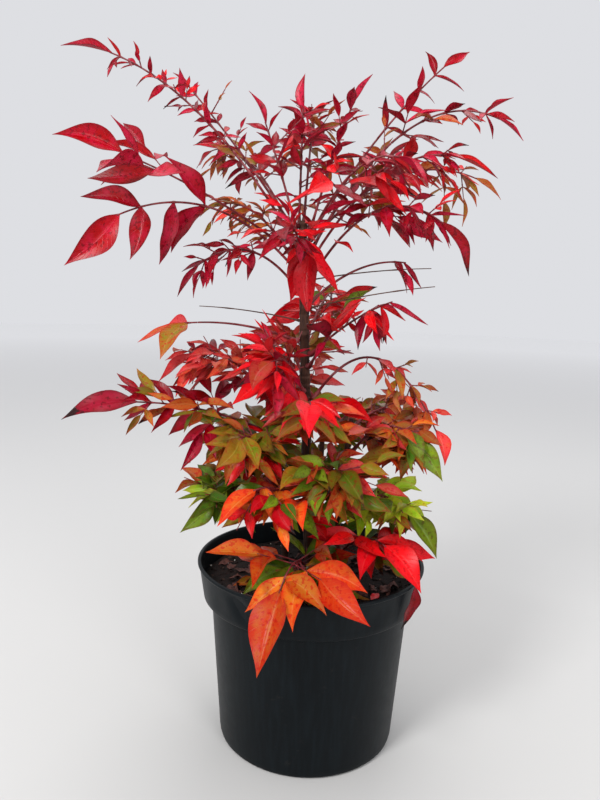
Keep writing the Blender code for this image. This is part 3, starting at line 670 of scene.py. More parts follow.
@dataclass(frozen=True)
class Mottled(Finish):
    """A natural matt surface of two colours that meet in patches.

    The pattern may be drawn out along the height, as on bark, and its fine grain gives
    both the relief and the change of gloss. Real fibres, grit and pores of 0.1 to 0.3 mm
    are too fine to show, so the grain is drawn at 0.5 to 0.9 mm.
    """

    dark: str = "#202020"
    light: str = "#404040"
    patch_mm: float = 5.0
    grain_mm: float = 1.0
    stretch: float = 1.0
    roughness: float = 0.8
    roughness_range: float = 0.15
    relief_mm: float = 0.3
    contrast: float = 0.2
    specular: float = 0.5

    def paint(self, tree: bpy.types.NodeTree, surface: bpy.types.Node) -> None:
        """Link the two colours, the gloss and the grain's relief.

        Args:
            tree: the material's node tree.
            surface: its Principled node.
        """
        add = partial(add_node, tree)
        objects = add("ShaderNodeTexCoord", {})
        drawn = add(
            "ShaderNodeMapping", {"Scale": (1.0, 1.0, 1.0 / self.stretch)},
            {"Vector": objects.outputs["Object"]},
        )
        patches = add(
            "ShaderNodeTexNoise",
            {"Scale": scale_for(self.patch_mm), "Detail": 4.0, "Roughness": 0.62},
            {"Vector": drawn.outputs[0]},
        )
        grain = add(
            "ShaderNodeTexNoise",
            {"Scale": scale_for(self.grain_mm), "Detail": 2.0, "Roughness": 0.55},
            {"Vector": drawn.outputs[0]},
        )
        share = add(
            "ShaderNodeMapRange",
            {"From Min": 0.5 - self.contrast, "From Max": 0.5 + self.contrast},
            {"Value": patches.outputs["Fac"]},
        )
        colour = add(
            "ShaderNodeMix",
            {"data_type": "RGBA", MIX_A: linear(self.dark), MIX_B: linear(self.light)},
            {MIX_FACTOR: share.outputs["Result"]},
        )
        gloss = add(
            "ShaderNodeMapRange",
            {
                "To Min": self.roughness - self.roughness_range,
                "To Max": self.roughness + self.roughness_range,
            },
            {"Value": grain.outputs["Fac"]},
        )
        relief = add(
            "ShaderNodeBump", {"Strength": 0.7, "Distance": self.relief_mm * MM},
            {"Height": grain.outputs["Fac"]},
        )
        tree.links.new(colour.outputs[MIX_RESULT], surface.inputs["Base Color"])
        tree.links.new(gloss.outputs["Result"], surface.inputs["Roughness"])
        tree.links.new(relief.outputs["Normal"], surface.inputs["Normal"])
        surface.inputs["Specular IOR Level"].default_value = self.specular


@dataclass(frozen=True)
class MattPaper(Finish):
    """Plain matt background paper, which pales away from the middle as the lamps fall off."""

    near: str = "#c0c0c0"
    far: str = "#f0f0f0"
    radius: float = 3.0

    def paint(self, tree: bpy.types.NodeTree, surface: bpy.types.Node) -> None:
        """Link the change from the near colour to the far one.

        Args:
            tree: the material's node tree.
            surface: its Principled node.
        """
        add = partial(add_node, tree)
        objects = add("ShaderNodeTexCoord", {})
        away = add("ShaderNodeVectorMath", {"operation": "LENGTH"}, {0: objects.outputs["Object"]})
        share = add("ShaderNodeMapRange", {"From Max": self.radius}, {"Value": away.outputs["Value"]})
        colour = add(
            "ShaderNodeMix",
            {"data_type": "RGBA", MIX_A: linear(self.near), MIX_B: linear(self.far)},
            {MIX_FACTOR: share.outputs["Result"]},
        )
        tree.links.new(colour.outputs[MIX_RESULT], surface.inputs["Base Color"])
        surface.inputs["Roughness"].default_value = 0.9
        surface.inputs["Specular IOR Level"].default_value = 0.1


@dataclass(frozen=True)
class MouldedPolypropylene(Finish):
    """Thin injection-moulded polypropylene from recycled stock.

    Its satin skin shows fine upright flow streaks that are slightly greyer, and specks of
    dust. The real orange peel of about 0.4 mm is too fine to show, so it is drawn coarser.
    """

    skin: str = "#090e11"
    worn: str = "#172025"
    dust: str = "#4a443c"
    specular: float = 0.12
    ior: float = 1.49
    roughness_range: tuple[float, float] = (0.34, 0.52)
    streak_mm: float = 3.0
    streak_squeeze: float = 0.08
    streak_range: tuple[float, float] = (0.42, 0.78)
    streak_share: float = 0.32
    peel_mm: float = 1.6
    peel_depth_mm: float = 0.12
    dust_mm: float = 9.0
    dust_range: tuple[float, float] = (0.62, 0.85)
    dust_share: float = 0.22

    def paint(self, tree: bpy.types.NodeTree, surface: bpy.types.Node) -> None:
        """Link the streaks, the dust, the satin gloss and the orange peel.

        Args:
            tree: the material's node tree.
            surface: its Principled node.
        """
        add = partial(add_node, tree)
        objects = add("ShaderNodeTexCoord", {})
        upright = add(
            "ShaderNodeMapping", {"Scale": (1.0, 1.0, self.streak_squeeze)},
            {"Vector": objects.outputs["Object"]},
        )
        streaks = add(
            "ShaderNodeTexNoise",
            {"Scale": scale_for(self.streak_mm), "Detail": 3.0, "Roughness": 0.5},
            {"Vector": upright.outputs[0]},
        )
        specks = add(
            "ShaderNodeTexNoise",
            {"Scale": scale_for(self.dust_mm), "Detail": 6.0, "Roughness": 0.7},
            {"Vector": objects.outputs["Object"]},
        )
        peel = add(
            "ShaderNodeTexNoise",
            {"Scale": scale_for(self.peel_mm), "Detail": 1.0},
            {"Vector": objects.outputs["Object"]},
        )
        wear = add(
            "ShaderNodeMapRange",
            {
                "From Min": self.streak_range[0], "From Max": self.streak_range[1],
                "To Max": self.streak_share,
            },
            {"Value": streaks.outputs["Fac"]},
        )
        satin = add(
            "ShaderNodeMix",
            {"data_type": "RGBA", MIX_A: linear(self.skin), MIX_B: linear(self.worn)},
            {MIX_FACTOR: wear.outputs["Result"]},
        )
        dusty = add(
            "ShaderNodeMapRange",
            {"From Min": self.dust_range[0], "From Max": self.dust_range[1], "To Max": self.dust_share},
            {"Value": specks.outputs["Fac"]},
        )
        colour = add(
            "ShaderNodeMix", {"data_type": "RGBA", MIX_B: linear(self.dust)},
            {MIX_FACTOR: dusty.outputs["Result"], MIX_A: satin.outputs[MIX_RESULT]},
        )
        gloss = add(
            "ShaderNodeMapRange",
            {"To Min": self.roughness_range[0], "To Max": self.roughness_range[1]},
            {"Value": specks.outputs["Fac"]},
        )
        relief = add(
            "ShaderNodeBump", {"Strength": 0.25, "Distance": self.peel_depth_mm * MM},
            {"Height": peel.outputs["Fac"]},
        )
        tree.links.new(colour.outputs[MIX_RESULT], surface.inputs["Base Color"])
        tree.links.new(gloss.outputs["Result"], surface.inputs["Roughness"])
        tree.links.new(relief.outputs["Normal"], surface.inputs["Normal"])
        surface.inputs["IOR"].default_value = self.ior
        surface.inputs["Specular IOR Level"].default_value = self.specular


# Fibrous bark: dark brown, with paler strands that run up the cane, and no gloss
BARK_FINISH = Mottled(
    "fibrous_cane_bark", dark="#1e0d0b", light="#543528", patch_mm=2.2, grain_mm=0.7, stretch=6.0,
    roughness=0.82, roughness_range=0.10, relief_mm=0.5, contrast=0.22, specular=0.3,
)
# The smooth skin of limbs and stalks: dark crimson with a faint gloss
RACHIS_FINISH = Mottled(
    "smooth_crimson_rachis", dark="#4c0f16", light="#8c2028", patch_mm=6.0, grain_mm=0.8, stretch=2.0,
    roughness=0.50, roughness_range=0.08, relief_mm=0.08, contrast=0.25,
)
# Damp peat: nearly black and rough, with browner crumbs
COMPOST_FINISH = Mottled(
    "damp_peat_compost", dark="#080403", light="#22130f", patch_mm=4.0, grain_mm=0.9,
    roughness=0.85, roughness_range=0.15, relief_mm=1.0, contrast=0.22, specular=0.22,
)
# Composted bark: brown, fibrous and matt
CHIP_FINISH = Mottled(
    "composted_bark_chip", dark="#20120d", light="#4a3226", patch_mm=2.5, grain_mm=0.6, stretch=1.5,
    roughness=0.85, relief_mm=0.3, specular=0.3,
)
# Expanded perlite: puffed mineral grains, off-white and chalky
PERLITE_FINISH = Mottled(
    "expanded_perlite", dark="#a8a298", light="#e2ded6", patch_mm=1.2, grain_mm=0.5,
    roughness=0.9, roughness_range=0.05, relief_mm=0.2,
)
# Dried leaf: reddish brown, blotched and dull
LITTER_FINISH = Mottled(
    "dry_leaf_litter", dark="#26110f", light="#6e443c", patch_mm=4.0, grain_mm=0.8,
    roughness=0.75, relief_mm=0.2, specular=0.3,
)
# Stalks that dried in the air: pale brown, streaked along their length and dull
DRY_FINISH = Mottled(
    "dry_spent_leaf_stalk", dark="#3a201c", light="#6c4a3c", patch_mm=4.0, grain_mm=0.6, stretch=3.0,
    roughness=0.75, roughness_range=0.08, relief_mm=0.1, specular=0.3,
)
# Black polypropylene: a satin skin that looks bluish where it mirrors the room
POT_FINISH = MouldedPolypropylene("moulded_black_polypropylene")


def mesh_of(name: str, shape: bmesh.types.BMesh) -> bpy.types.Mesh:
    """Turn a finished bmesh into a mesh, and free it.

    Args:
        name: the mesh's name.
        shape: the bmesh.

    Returns:
        The new mesh.
    """
    mesh = bpy.data.meshes.new(name)
    shape.to_mesh(mesh)
    shape.free()
    return mesh


def add_object(name: str, data: bpy.types.ID) -> bpy.types.Object:
    """Put a mesh, a lamp or a camera into the scene.

    Args:
        name: the object's name.
        data: its mesh, lamp or camera.

    Returns:
        The new object.
    """
    made = bpy.data.objects.new(name, data)
    bpy.context.scene.collection.objects.link(made)
    return made


def spun(section: list[tuple[float, float]], steps: int) -> bmesh.types.BMesh:
    """Spin a section full round the upright axis, and close its seam and its poles.

    Args:
        section: radius and height of each corner, from pole to pole.
        steps: how many faces go round.

    Returns:
        The new shape, with its normals still as the spin left them.
    """
    shape = bmesh.new()
    corners = [shape.verts.new((radius, 0.0, height)) for radius, height in section]
    chain = [shape.edges.new(pair) for pair in zip(corners, corners[1:])]
    bmesh.ops.spin(
        shape, geom=corners + chain, cent=(0, 0, 0), axis=(0, 0, 1), dvec=(0, 0, 0),
        angle=2 * math.pi, steps=steps, use_merge=True, use_duplicate=False,
    )
    bmesh.ops.remove_doubles(shape, verts=shape.verts[:], dist=MERGE_DISTANCE)
    return shape


def shade_smooth(shape: bmesh.types.BMesh, sharp_angle: float = math.pi) -> None:
    """Turn every face outwards and shade it smooth, up to the sharper edges.

    Args:
        shape: the closed shape.
        sharp_angle: the angle from which an edge stays sharp.
    """
    bmesh.ops.recalc_face_normals(shape, faces=shape.faces[:])
    for face in shape.faces:
        face.smooth = True
    for edge in shape.edges:
        edge.smooth = edge.calc_face_angle(0.0) < sharp_angle


def make_piece(
    name: str,
    shape: bmesh.types.BMesh,
    finish: Finish,
    replaced: tuple[str, ...] = (),
) -> bpy.types.Object:
    """Turn a finished bmesh into a piece of the object, and free it.

    Args:
        name: the piece's name.
        shape: its mesh in the object's own frame.
        finish: what it is dressed in.
        replaced: the solids that it stands for.

    Returns:
        The new piece.
    """
    mesh = mesh_of(name, shape)
    mesh.materials.append(finish.material())
    piece = add_object(name, mesh)
    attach(piece, BODY)
    if replaced:
        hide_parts(*replaced)
    log.info("%s: %d faces", name, len(mesh.polygons))
    return piece


@dataclass(frozen=True)
class Tube:
    """A round run of stations whose radius changes, closed at both ends."""

    points: list[Vector]
    radii: list[float]
    sides: int = 8

    def add_to(self, shape: bmesh.types.BMesh) -> list[list[bmesh.types.BMVert]]:
        """Extrude a disc from station to station.

        Args:
            shape: the mesh that the tube joins.

        Returns:
            The corners of each station's ring, in order round the tube.
        """
        frames = self.frames()
        disc = bmesh.ops.create_circle(shape, cap_ends=True, segments=self.sides, radius=1.0)["verts"]
        bmesh.ops.transform(shape, matrix=frames[0], verts=disc)
        face = disc[0].link_faces[0]
        faces, rings = [face], [list(face.verts)]
        for before, after in zip(frames, frames[1:]):
            made = bmesh.ops.extrude_face_region(shape, geom=[face])["geom"]
            face = next(part for part in made if isinstance(part, bmesh.types.BMFace))
            bmesh.ops.transform(shape, matrix=after @ before.inverted(), verts=face.verts[:])
            rings.append(list(face.verts))
            faces += {near for corner in face.verts for near in corner.link_faces}
        whole = list({part for part in faces if part.is_valid})
        bmesh.ops.recalc_face_normals(shape, faces=whole)
        for part in whole:
            part.smooth = True
        return rings

    def frames(self) -> list[Matrix]:
        """Where each station's unit disc goes, turned as little as can be from the last.

        Returns:
            One matrix for each station.
        """
        found = []
        last = len(self.points) - 1
        turn = None
        heading = None
        for i, (point, radius) in enumerate(zip(self.points, self.radii)):
            run = (self.points[min(i + 1, last)] - self.points[max(i - 1, 0)]).normalized()
            if turn is None:
                turn = run.to_track_quat("Z", "Y")
            else:
                turn = heading.rotation_difference(run) @ turn
            heading = run
            size = Matrix.Diagonal((radius, radius, radius, 1.0))
            found.append(Matrix.Translation(point) @ turn.to_matrix().to_4x4() @ size)
        return found


@dataclass(frozen=True)
class Leaflet:
    """One leaflet's place and bearing, and its own seeded character."""

    root: Vector
    direction: Vector
    normal: Vector
    length: float
    width: float
    fold: float
    arch: float
    sway: float
    twist: float
    wave: float
    tone: float
    age: float

    # How often the margin waves, how far the other margin's wave is shifted from it, and
    # how widely the leaflet's age spreads the waves' start
    WAVES = 1.6
    MARGIN_SHIFT = 0.9
    WAVE_SPREAD = 40.0

    def place(self, flat: Vector) -> Vector:
        """Move a corner of the flat blade to this leaflet.

        Args:
            flat: across from minus one to one, along from nought to one, and skin from
                nought to one.

        Returns:
            The corner's place in the object's frame.
        """
        side = self.normal.cross(self.direction).normalized()
        above = self.direction.cross(side)
        along = flat.y
        turn = self.twist * math.sin(math.pi * along)
        aside = side * math.cos(turn) + above * math.sin(turn)
        lifted = above * math.cos(turn) - side * math.sin(turn)
        middle = self.root + self.direction * self.length * along
        middle += side * self.sway * self.length * math.sin(math.pi * along)
        middle -= above * LEAF_DROOP_SHARE * self.length * along**self.arch
        half = self.width / 2
        phase = 2 * math.pi * self.WAVES * along + self.age * self.WAVE_SPREAD
        phase += self.MARGIN_SHIFT if flat.x > 0 else 0.0
        ripple = self.wave * math.sin(phase) * math.sin(math.pi * along)
        rise = abs(flat.x) * (self.fold + ripple) * half
        return middle + aside * flat.x * half + lifted * (rise + (flat.z - 0.5) * Blade.THICKNESS)


@dataclass(frozen=True)
class Habit:
    """How the leaflets of one sort vary: a pair is drawn between, and one number holds.

    The width is a share of the length. The fold lifts the margins, the arch is the power
    that the blade bends down with, and sway and twist turn it aside and about its midrib.
    """

    width: tuple[float, float] | float
    fold: tuple[float, float] | float = (0.20, 0.80)
    arch: tuple[float, float] | float = (1.4, 3.0)
    sway: tuple[float, float] | float = (-0.10, 0.10)
    twist: tuple[float, float] | float = (-0.65, 0.65)
    wave: tuple[float, float] | float = (0.02, 0.16)
    tone: tuple[float, float] | float = (0.60, 1.22)
    age: tuple[float, float] | float = (-0.15, 0.85)

    def leaflet(
        self, draws: random.Random, root: Vector, bearing: tuple[Vector, Vector], length: float
    ) -> Leaflet:
        """Give a leaflet its seeded character.

        Args:
            draws: the seeded draws, which are taken in the order of the fields.
            root: where its blade starts.
            bearing: its direction and normal.
            length: its length.

        Returns:
            The leaflet.
        """
        width, *others = [
            span if isinstance(span, float) else draws.uniform(*span) for span in astuple(self)
        ]
        return Leaflet(root, *bearing, length, length * width, *others)


# Living leaflets of the crown, narrow on the fine upper sprays and broader low down, then
# those on the compost and over the rim: dried and curled, lately fallen, and withered
SLENDER = Habit((0.25, 0.33))
BROAD = Habit((0.36, 0.45))
DRIED = Habit((0.34, 0.46), (-0.4, 0.7), (1.4, 3.0), (-0.08, 0.08), (-0.9, 0.9), (0.3, 0.8), 1.0, 0.5)
LATELY_FALLEN = Habit((0.36, 0.44), (0.3, 0.7), (1.4, 2.6), (-0.08, 0.08), (-0.6, 0.6), (0.2, 0.5), 0.9, 0.5)
WITHERED = Habit(0.40, 0.35, 1.5, 0.06, 0.3, 0.2, 0.55, 0.1)


@dataclass
class Blade:
    """The flat leaf blade that every leaflet is bent from: a pointed oval with a midrib.

    Short leaflets take the plain grid, and long ones a finer grid that bends smoothly.
    """

    PLACE = "blade_place"
    CHARACTER = "leaf_character"
    THICKNESS = 0.30 * MM

    rows: int = 8
    columns: int = 4
    fine_rows: int = 16
    fine_columns: int = 6
    fine_length: float = 0.030
    stalk_share: float = 0.05
    widest_power: float = 0.84
    tip_power: float = 1.15
    taper_share: float = 0.32
    margin_angle: float = math.radians(40)
    plain: bpy.types.Mesh = field(init=False)
    fine: bpy.types.Mesh = field(init=False)

    def __post_init__(self) -> None:
        """Make both flat blades once, as meshes to be copied."""
        self.plain = self.flat("plain_blade", self.rows, self.columns)
        self.fine = self.flat("fine_blade", self.fine_rows, self.fine_columns)

    def flat(self, name: str, rows: int, columns: int) -> bpy.types.Mesh:
        """Make a flat blade of unit length and half width.

        Args:
            name: the mesh's name.
            rows: its faces along the blade.
            columns: its faces across.

        Returns:
            The mesh, with each corner's place on the blade.
        """
        shape = bmesh.new()
        place = shape.verts.layers.float_vector.new(self.PLACE)
        shape.verts.layers.float_vector.new(self.CHARACTER)
        bmesh.ops.create_grid(shape, x_segments=columns, y_segments=rows, size=1.0)
        for corner in shape.verts:
            along = (corner.co.y + 1.0) / 2
            corner.co = Vector((corner.co.x * self.outline(along), along, 0.0))
        bmesh.ops.remove_doubles(shape, verts=shape.verts[:], dist=MERGE_DISTANCE)
        bmesh.ops.recalc_face_normals(shape, faces=shape.faces[:])
        bmesh.ops.solidify(shape, geom=shape.faces[:], thickness=1.0)
        lowest = min(corner.co.z for corner in shape.verts)
        for corner in shape.verts:
            corner.co.z -= lowest
            across = corner.co.x / max(self.outline(corner.co.y), self.stalk_share)
            corner[place] = (across, corner.co.y, 1.0 - corner.co.z)
        shade_smooth(shape, self.margin_angle)
        return mesh_of(name, shape)

    def outline(self, along: float) -> float:
        """The blade's half width at a share of its length, out of its widest.

        Args:
            along: the share of the length, from the stalk.

        Returns:
            Nought at the tip, and about one a little before the middle.
        """
        stalk = self.stalk_share * (1.0 - along)
        if not 0.0 < along < 1.0:
            return max(stalk, 0.0)
        swell = math.sin(math.pi * along**self.widest_power) ** self.tip_power
        return max(swell * (1.0 - self.taper_share * along**3), stalk)

    def add_to(self, shape: bmesh.types.BMesh, leaflet: Leaflet) -> None:
        """Bend a copy of the blade into a leaflet.

        Args:
            shape: the mesh that the leaflet joins.
            leaflet: its place and character.
        """
        first = len(shape.verts)
        shape.from_mesh(self.fine if leaflet.length > self.fine_length else self.plain)
        shape.verts.ensure_lookup_table()
        traits = shape.verts.layers.float_vector[self.CHARACTER]
        for corner in shape.verts[first:]:
            corner.co = leaflet.place(corner.co)
            corner[traits] = (leaflet.tone, leaflet.age, 0.0)

    def new_shape(self) -> bmesh.types.BMesh:
        """Start an empty shape that has the blade's attributes.

        Returns:
            The shape, for leaflets to join.
        """
        shape = bmesh.new()
        shape.verts.layers.float_vector.new(self.PLACE)
        shape.verts.layers.float_vector.new(self.CHARACTER)
        return shape


@dataclass(frozen=True)
class Canes:
    """The middles and radii of the cane and of the short stems, as in the solids."""

    side_stems: dict[Stem, tuple[Vector, Vector]] = field(
        default_factory=lambda: {
            Stem.LEFT: (Vector((-0.021, -0.006, 0.0)), Vector((-0.036, -0.016, 0.297))),
            Stem.RIGHT: (Vector((0.019, -0.010, 0.0)), Vector((0.028, -0.020, 0.277))),
            Stem.BACK: (Vector((0.004, 0.022, 0.0)), Vector((0.009, 0.038, 0.283))),
            Stem.FRONT: (Vector((-0.001, -0.027, 0.0)), Vector((-0.006, -0.039, 0.222))),
        }
    )

    def top(self, stem: Stem) -> float:
        """The height of a stem's tip."""
        return CANE_TOP if stem is Stem.CANE else self.side_stems[stem][1].z

    def middle(self, stem: Stem, height: float) -> Vector:
        """The middle of a stem at a height.

        Args:
            stem: the cane or a side stem.
            height: the height above the pot's underside.

        Returns:
            The point on its middle line.
        """
        share = (height - SOIL_TOP) / (self.top(stem) - SOIL_TOP)
        if stem is Stem.CANE:
            sway = CANE_SWAY * math.sin(2 * math.pi * share)
            return Vector((CANE_LEAN * share**CANE_BEND, sway, height))
        foot, tip = self.side_stems[stem]
        middle = foot.lerp(tip, share**STEM_BEND)
        return Vector((middle.x, middle.y, height))

    def radius(self, stem: Stem, height: float) -> float:
        """The radius of a stem at a height.

        Args:
            stem: the cane or a side stem.
            height: the height above the pot's underside.

        Returns:
            The radius, with the cane's flared foot.
        """
        share = (height - SOIL_TOP) / (self.top(stem) - SOIL_TOP)
        if stem is not Stem.CANE:
            return STEM_FOOT_RADIUS + (STEM_TIP_RADIUS - STEM_FOOT_RADIUS) * share
        flare = max(0.0, 1.0 - (height - SOIL_TOP) / CANE_FLARE_HEIGHT)
        plain = CANE_RADIUS + (CANE_TIP_RADIUS - CANE_RADIUS) * share
        return plain + (CANE_FOOT_RADIUS - CANE_RADIUS) * flare**2

    def limb_start(self, leaf: Leaf) -> tuple[Vector, Vector]:
        """Where a limb leaves its stem.

        Args:
            leaf: the compound leaf.

        Returns:
            The point, and the level direction that the limb leaves in.
        """
        middle, radius = self.middle(leaf.stem, leaf.height), self.radius(leaf.stem, leaf.height)
        if leaf.stem is Stem.CANE:
            radius *= NODE_SWELL
        outward = Vector(leaf.tip) - middle
        outward.z = 0.0
        outward.normalize()
        return middle + outward * (radius + TOUCHING_GAP), outward


@dataclass(frozen=True)
class SpentStalk:
    """A bare thin stalk whose leaflets have fallen, from its stem to its broken tip."""

    stem: Stem
    height: float
    tip: tuple[float, float, float]
    rise: float = 4.0 * MM
    foot_radius: float = 0.60 * MM
    tip_radius: float = 0.32 * MM
    foot_swell: float = 1.2
    foot_share: float = 0.03
    joint_swell: float = 0.5
    joint_place: float = 0.72
    joint_share: float = 0.02
    stations: int = 14

    def add_to(self, shape: bmesh.types.BMesh, canes: Canes) -> None:
        """Add the stalk's tube, arched and with a swollen foot and joint.

        Args:
            shape: the mesh that it joins.
            canes: the stems that it grows on.
        """
        middle, tip = canes.middle(self.stem, self.height), Vector(self.tip)
        outward = Vector((tip.x - middle.x, tip.y - middle.y, 0.0)).normalized()
        start = middle + outward * canes.radius(self.stem, self.height)
        control = start.lerp(tip, 0.5) + UP * self.rise
        points, radii = [], []
        for i in range(self.stations + 1):
            share = i / self.stations
            points.append(start * (1 - share) ** 2 + control * 2 * share * (1 - share) + tip * share**2)
            swell = 1.0 + self.foot_swell * math.exp(-((share / self.foot_share) ** 2))
            apart = (share - self.joint_place) / self.joint_share
            swell += self.joint_swell * math.exp(-(apart**2))
            radii.append((self.foot_radius + (self.tip_radius - self.foot_radius) * share) * swell)
        Tube(points, radii, 6).add_to(shape)


SPENT_STALKS: tuple[SpentStalk, ...] = (
    SpentStalk(Stem.CANE, 0.384, (0.086, -0.010, 0.396)),
    SpentStalk(Stem.CANE, 0.362, (0.086, -0.030, 0.382)),
    SpentStalk(Stem.CANE, 0.352, (-0.097, 0.004, 0.361)),
    SpentStalk(Stem.CANE, 0.338, (0.022, 0.088, 0.350)),
    SpentStalk(Stem.RIGHT, 0.200, (0.094, -0.030, 0.206)),
    SpentStalk(Stem.LEFT, 0.224, (-0.097, -0.030, 0.234)),
    SpentStalk(Stem.BACK, 0.212, (-0.052, 0.082, 0.224)),
)


@dataclass
class BarkedStem:
    """A cane or short stem with fibrous bark: ridges, rings and clasping leaf bases."""

    stem: Stem
    canes: Canes
    step: float = 1.6 * MM
    sides: int = 28
    ring_gap: float = 17.0 * MM
    ring_share: float = 0.07
    ring_swell: float = 0.11
    sheath_flare: float = 0.10
    ridge_depth: float = 0.055
    ridges: int = 9
    grit_depth: float = 0.06
    inset: float = 0.04

    # How often the wandering of rings and ridges and the grit change in a metre of height
    RING_WANDER = 90.0
    RIDGE_WANDER = 60.0
    GRIT_GRAIN = 260.0

    def build(self) -> bpy.types.Object:
        """Extrude the stem and raise its bark.

        Returns:
            The piece, which stands for the plain solid.
        """
        foot, top = SOIL_TOP + TOUCHING_GAP, self.canes.top(self.stem)
        count = max(int((top - foot) / self.step), 8)
        heights = [foot + (top - foot) * i / count for i in range(count + 1)]
        points = [self.canes.middle(self.stem, height) for height in heights]
        radii = [self.canes.radius(self.stem, height) for height in heights]
        shape = bmesh.new()
        rings = Tube(points, radii, self.sides).add_to(shape)
        for middle, radius, ring in zip(points, radii, rings):
            for corner in ring:
                outward = corner.co - middle
                spread = self.relief(middle.z, math.atan2(outward.y, outward.x), radius)
                corner.co = middle + outward * spread
        name = "bark_" + self.stem.value
        return make_piece(name, shape, BARK_FINISH, (self.stem.value,))

    def relief(self, height: float, angle: float, radius: float) -> float:
        """How far the bark stands out at a place.

        Args:
            height: the height above the pot's underside.
            angle: the bearing round the stem.
            radius: the stem's own radius there.

        Returns:
            The factor on the radius.
        """
        wander = noise.noise(Vector((height * self.RING_WANDER, 3.1, 7.7))) * 0.5
        ring = (height - SOIL_TOP) / self.ring_gap + wander
        share = ring - math.floor(ring)
        side = 1.0 if math.floor(ring) % 2 else -1.0
        swell = self.ring_swell * math.exp(-((min(share, 1.0 - share) / self.ring_share) ** 2))
        sheath = self.sheath_flare * (1.0 - share) ** 2 * (0.5 + 0.5 * side * math.cos(angle))
        bend = noise.noise(Vector((height * self.RIDGE_WANDER, angle * 0.6, 1.0)))
        ridge = self.ridge_depth * math.sin(angle * self.ridges + 5.0 * bend)
        grit = noise.noise(Vector((math.cos(angle), math.sin(angle), height * self.GRIT_GRAIN)) * 2.2)
        fade = min(1.0, (self.canes.top(self.stem) - height) / radius)
        return 1.0 + (swell + sheath + ridge + self.grit_depth * grit) * fade - self.inset


class Reach:
    """The space that the solids hold, for growing within it and clear of neighbours."""

    # How near a solid comes to a leaflet's tip that is its own, and how far a finer leaflet
    # may pass its mass's box
    SAME_LEAF = 1.0 * MM
    SPARE = 2.0 * MM

    def __init__(self, nodes: dict[str, bpy.types.Object]) -> None:
        """Take in every solid.

        Args:
            nodes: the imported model's nodes by name.
        """
        self.trees = {}
        self.boxes = {}
        for name, solid in nodes.items():
            corners = [corner.co.copy() for corner in solid.data.vertices]
            sides = [tuple(face.vertices) for face in solid.data.polygons]
            self.trees[name] = BVHTree.FromPolygons(corners, sides)
            self.boxes[name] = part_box(name)

    def has(self, name: str, point: Vector) -> bool:
        """Whether a solid comes to a point, such as a leaflet's tip."""
        return self.trees[name].find_nearest(point, self.SAME_LEAF)[0] is not None

    def inside(self, name: str, point: Vector) -> bool:
        """Whether a point lies in the box that a solid's mass keeps to."""
        low, high = self.boxes[name]
        return all(low[i] - self.SPARE < point[i] < high[i] + self.SPARE for i in range(3))

    def is_clear(self, blade: list[Vector]) -> bool:
        """Whether a blade, given as the corners of its outline, touches no solid."""
        outline = BVHTree.FromPolygons(blade, [tuple(range(len(blade)))])
        return not any(outline.overlap(tree) for tree in self.trees.values())


@dataclass(frozen=True)
class Filling:
    """What a dressed spray grows beyond its solid, and the other tints among its leaflets.

    stalks are the further side stalks, on the span of the limb's run, and young the finer
    ones at each pair. outer and inner are the shares of the solid's own and of the further
    leaflets that take one of the other tints. slim keeps even its long leaflets narrow.
    """

    stalks: int = 0
    others: tuple[Tint, ...] = ()
    outer: float = 0.0
    inner: float = 0.0
    young: int = 1
    span: tuple[float, float] = (0.10, 0.95)
    slim: bool = False


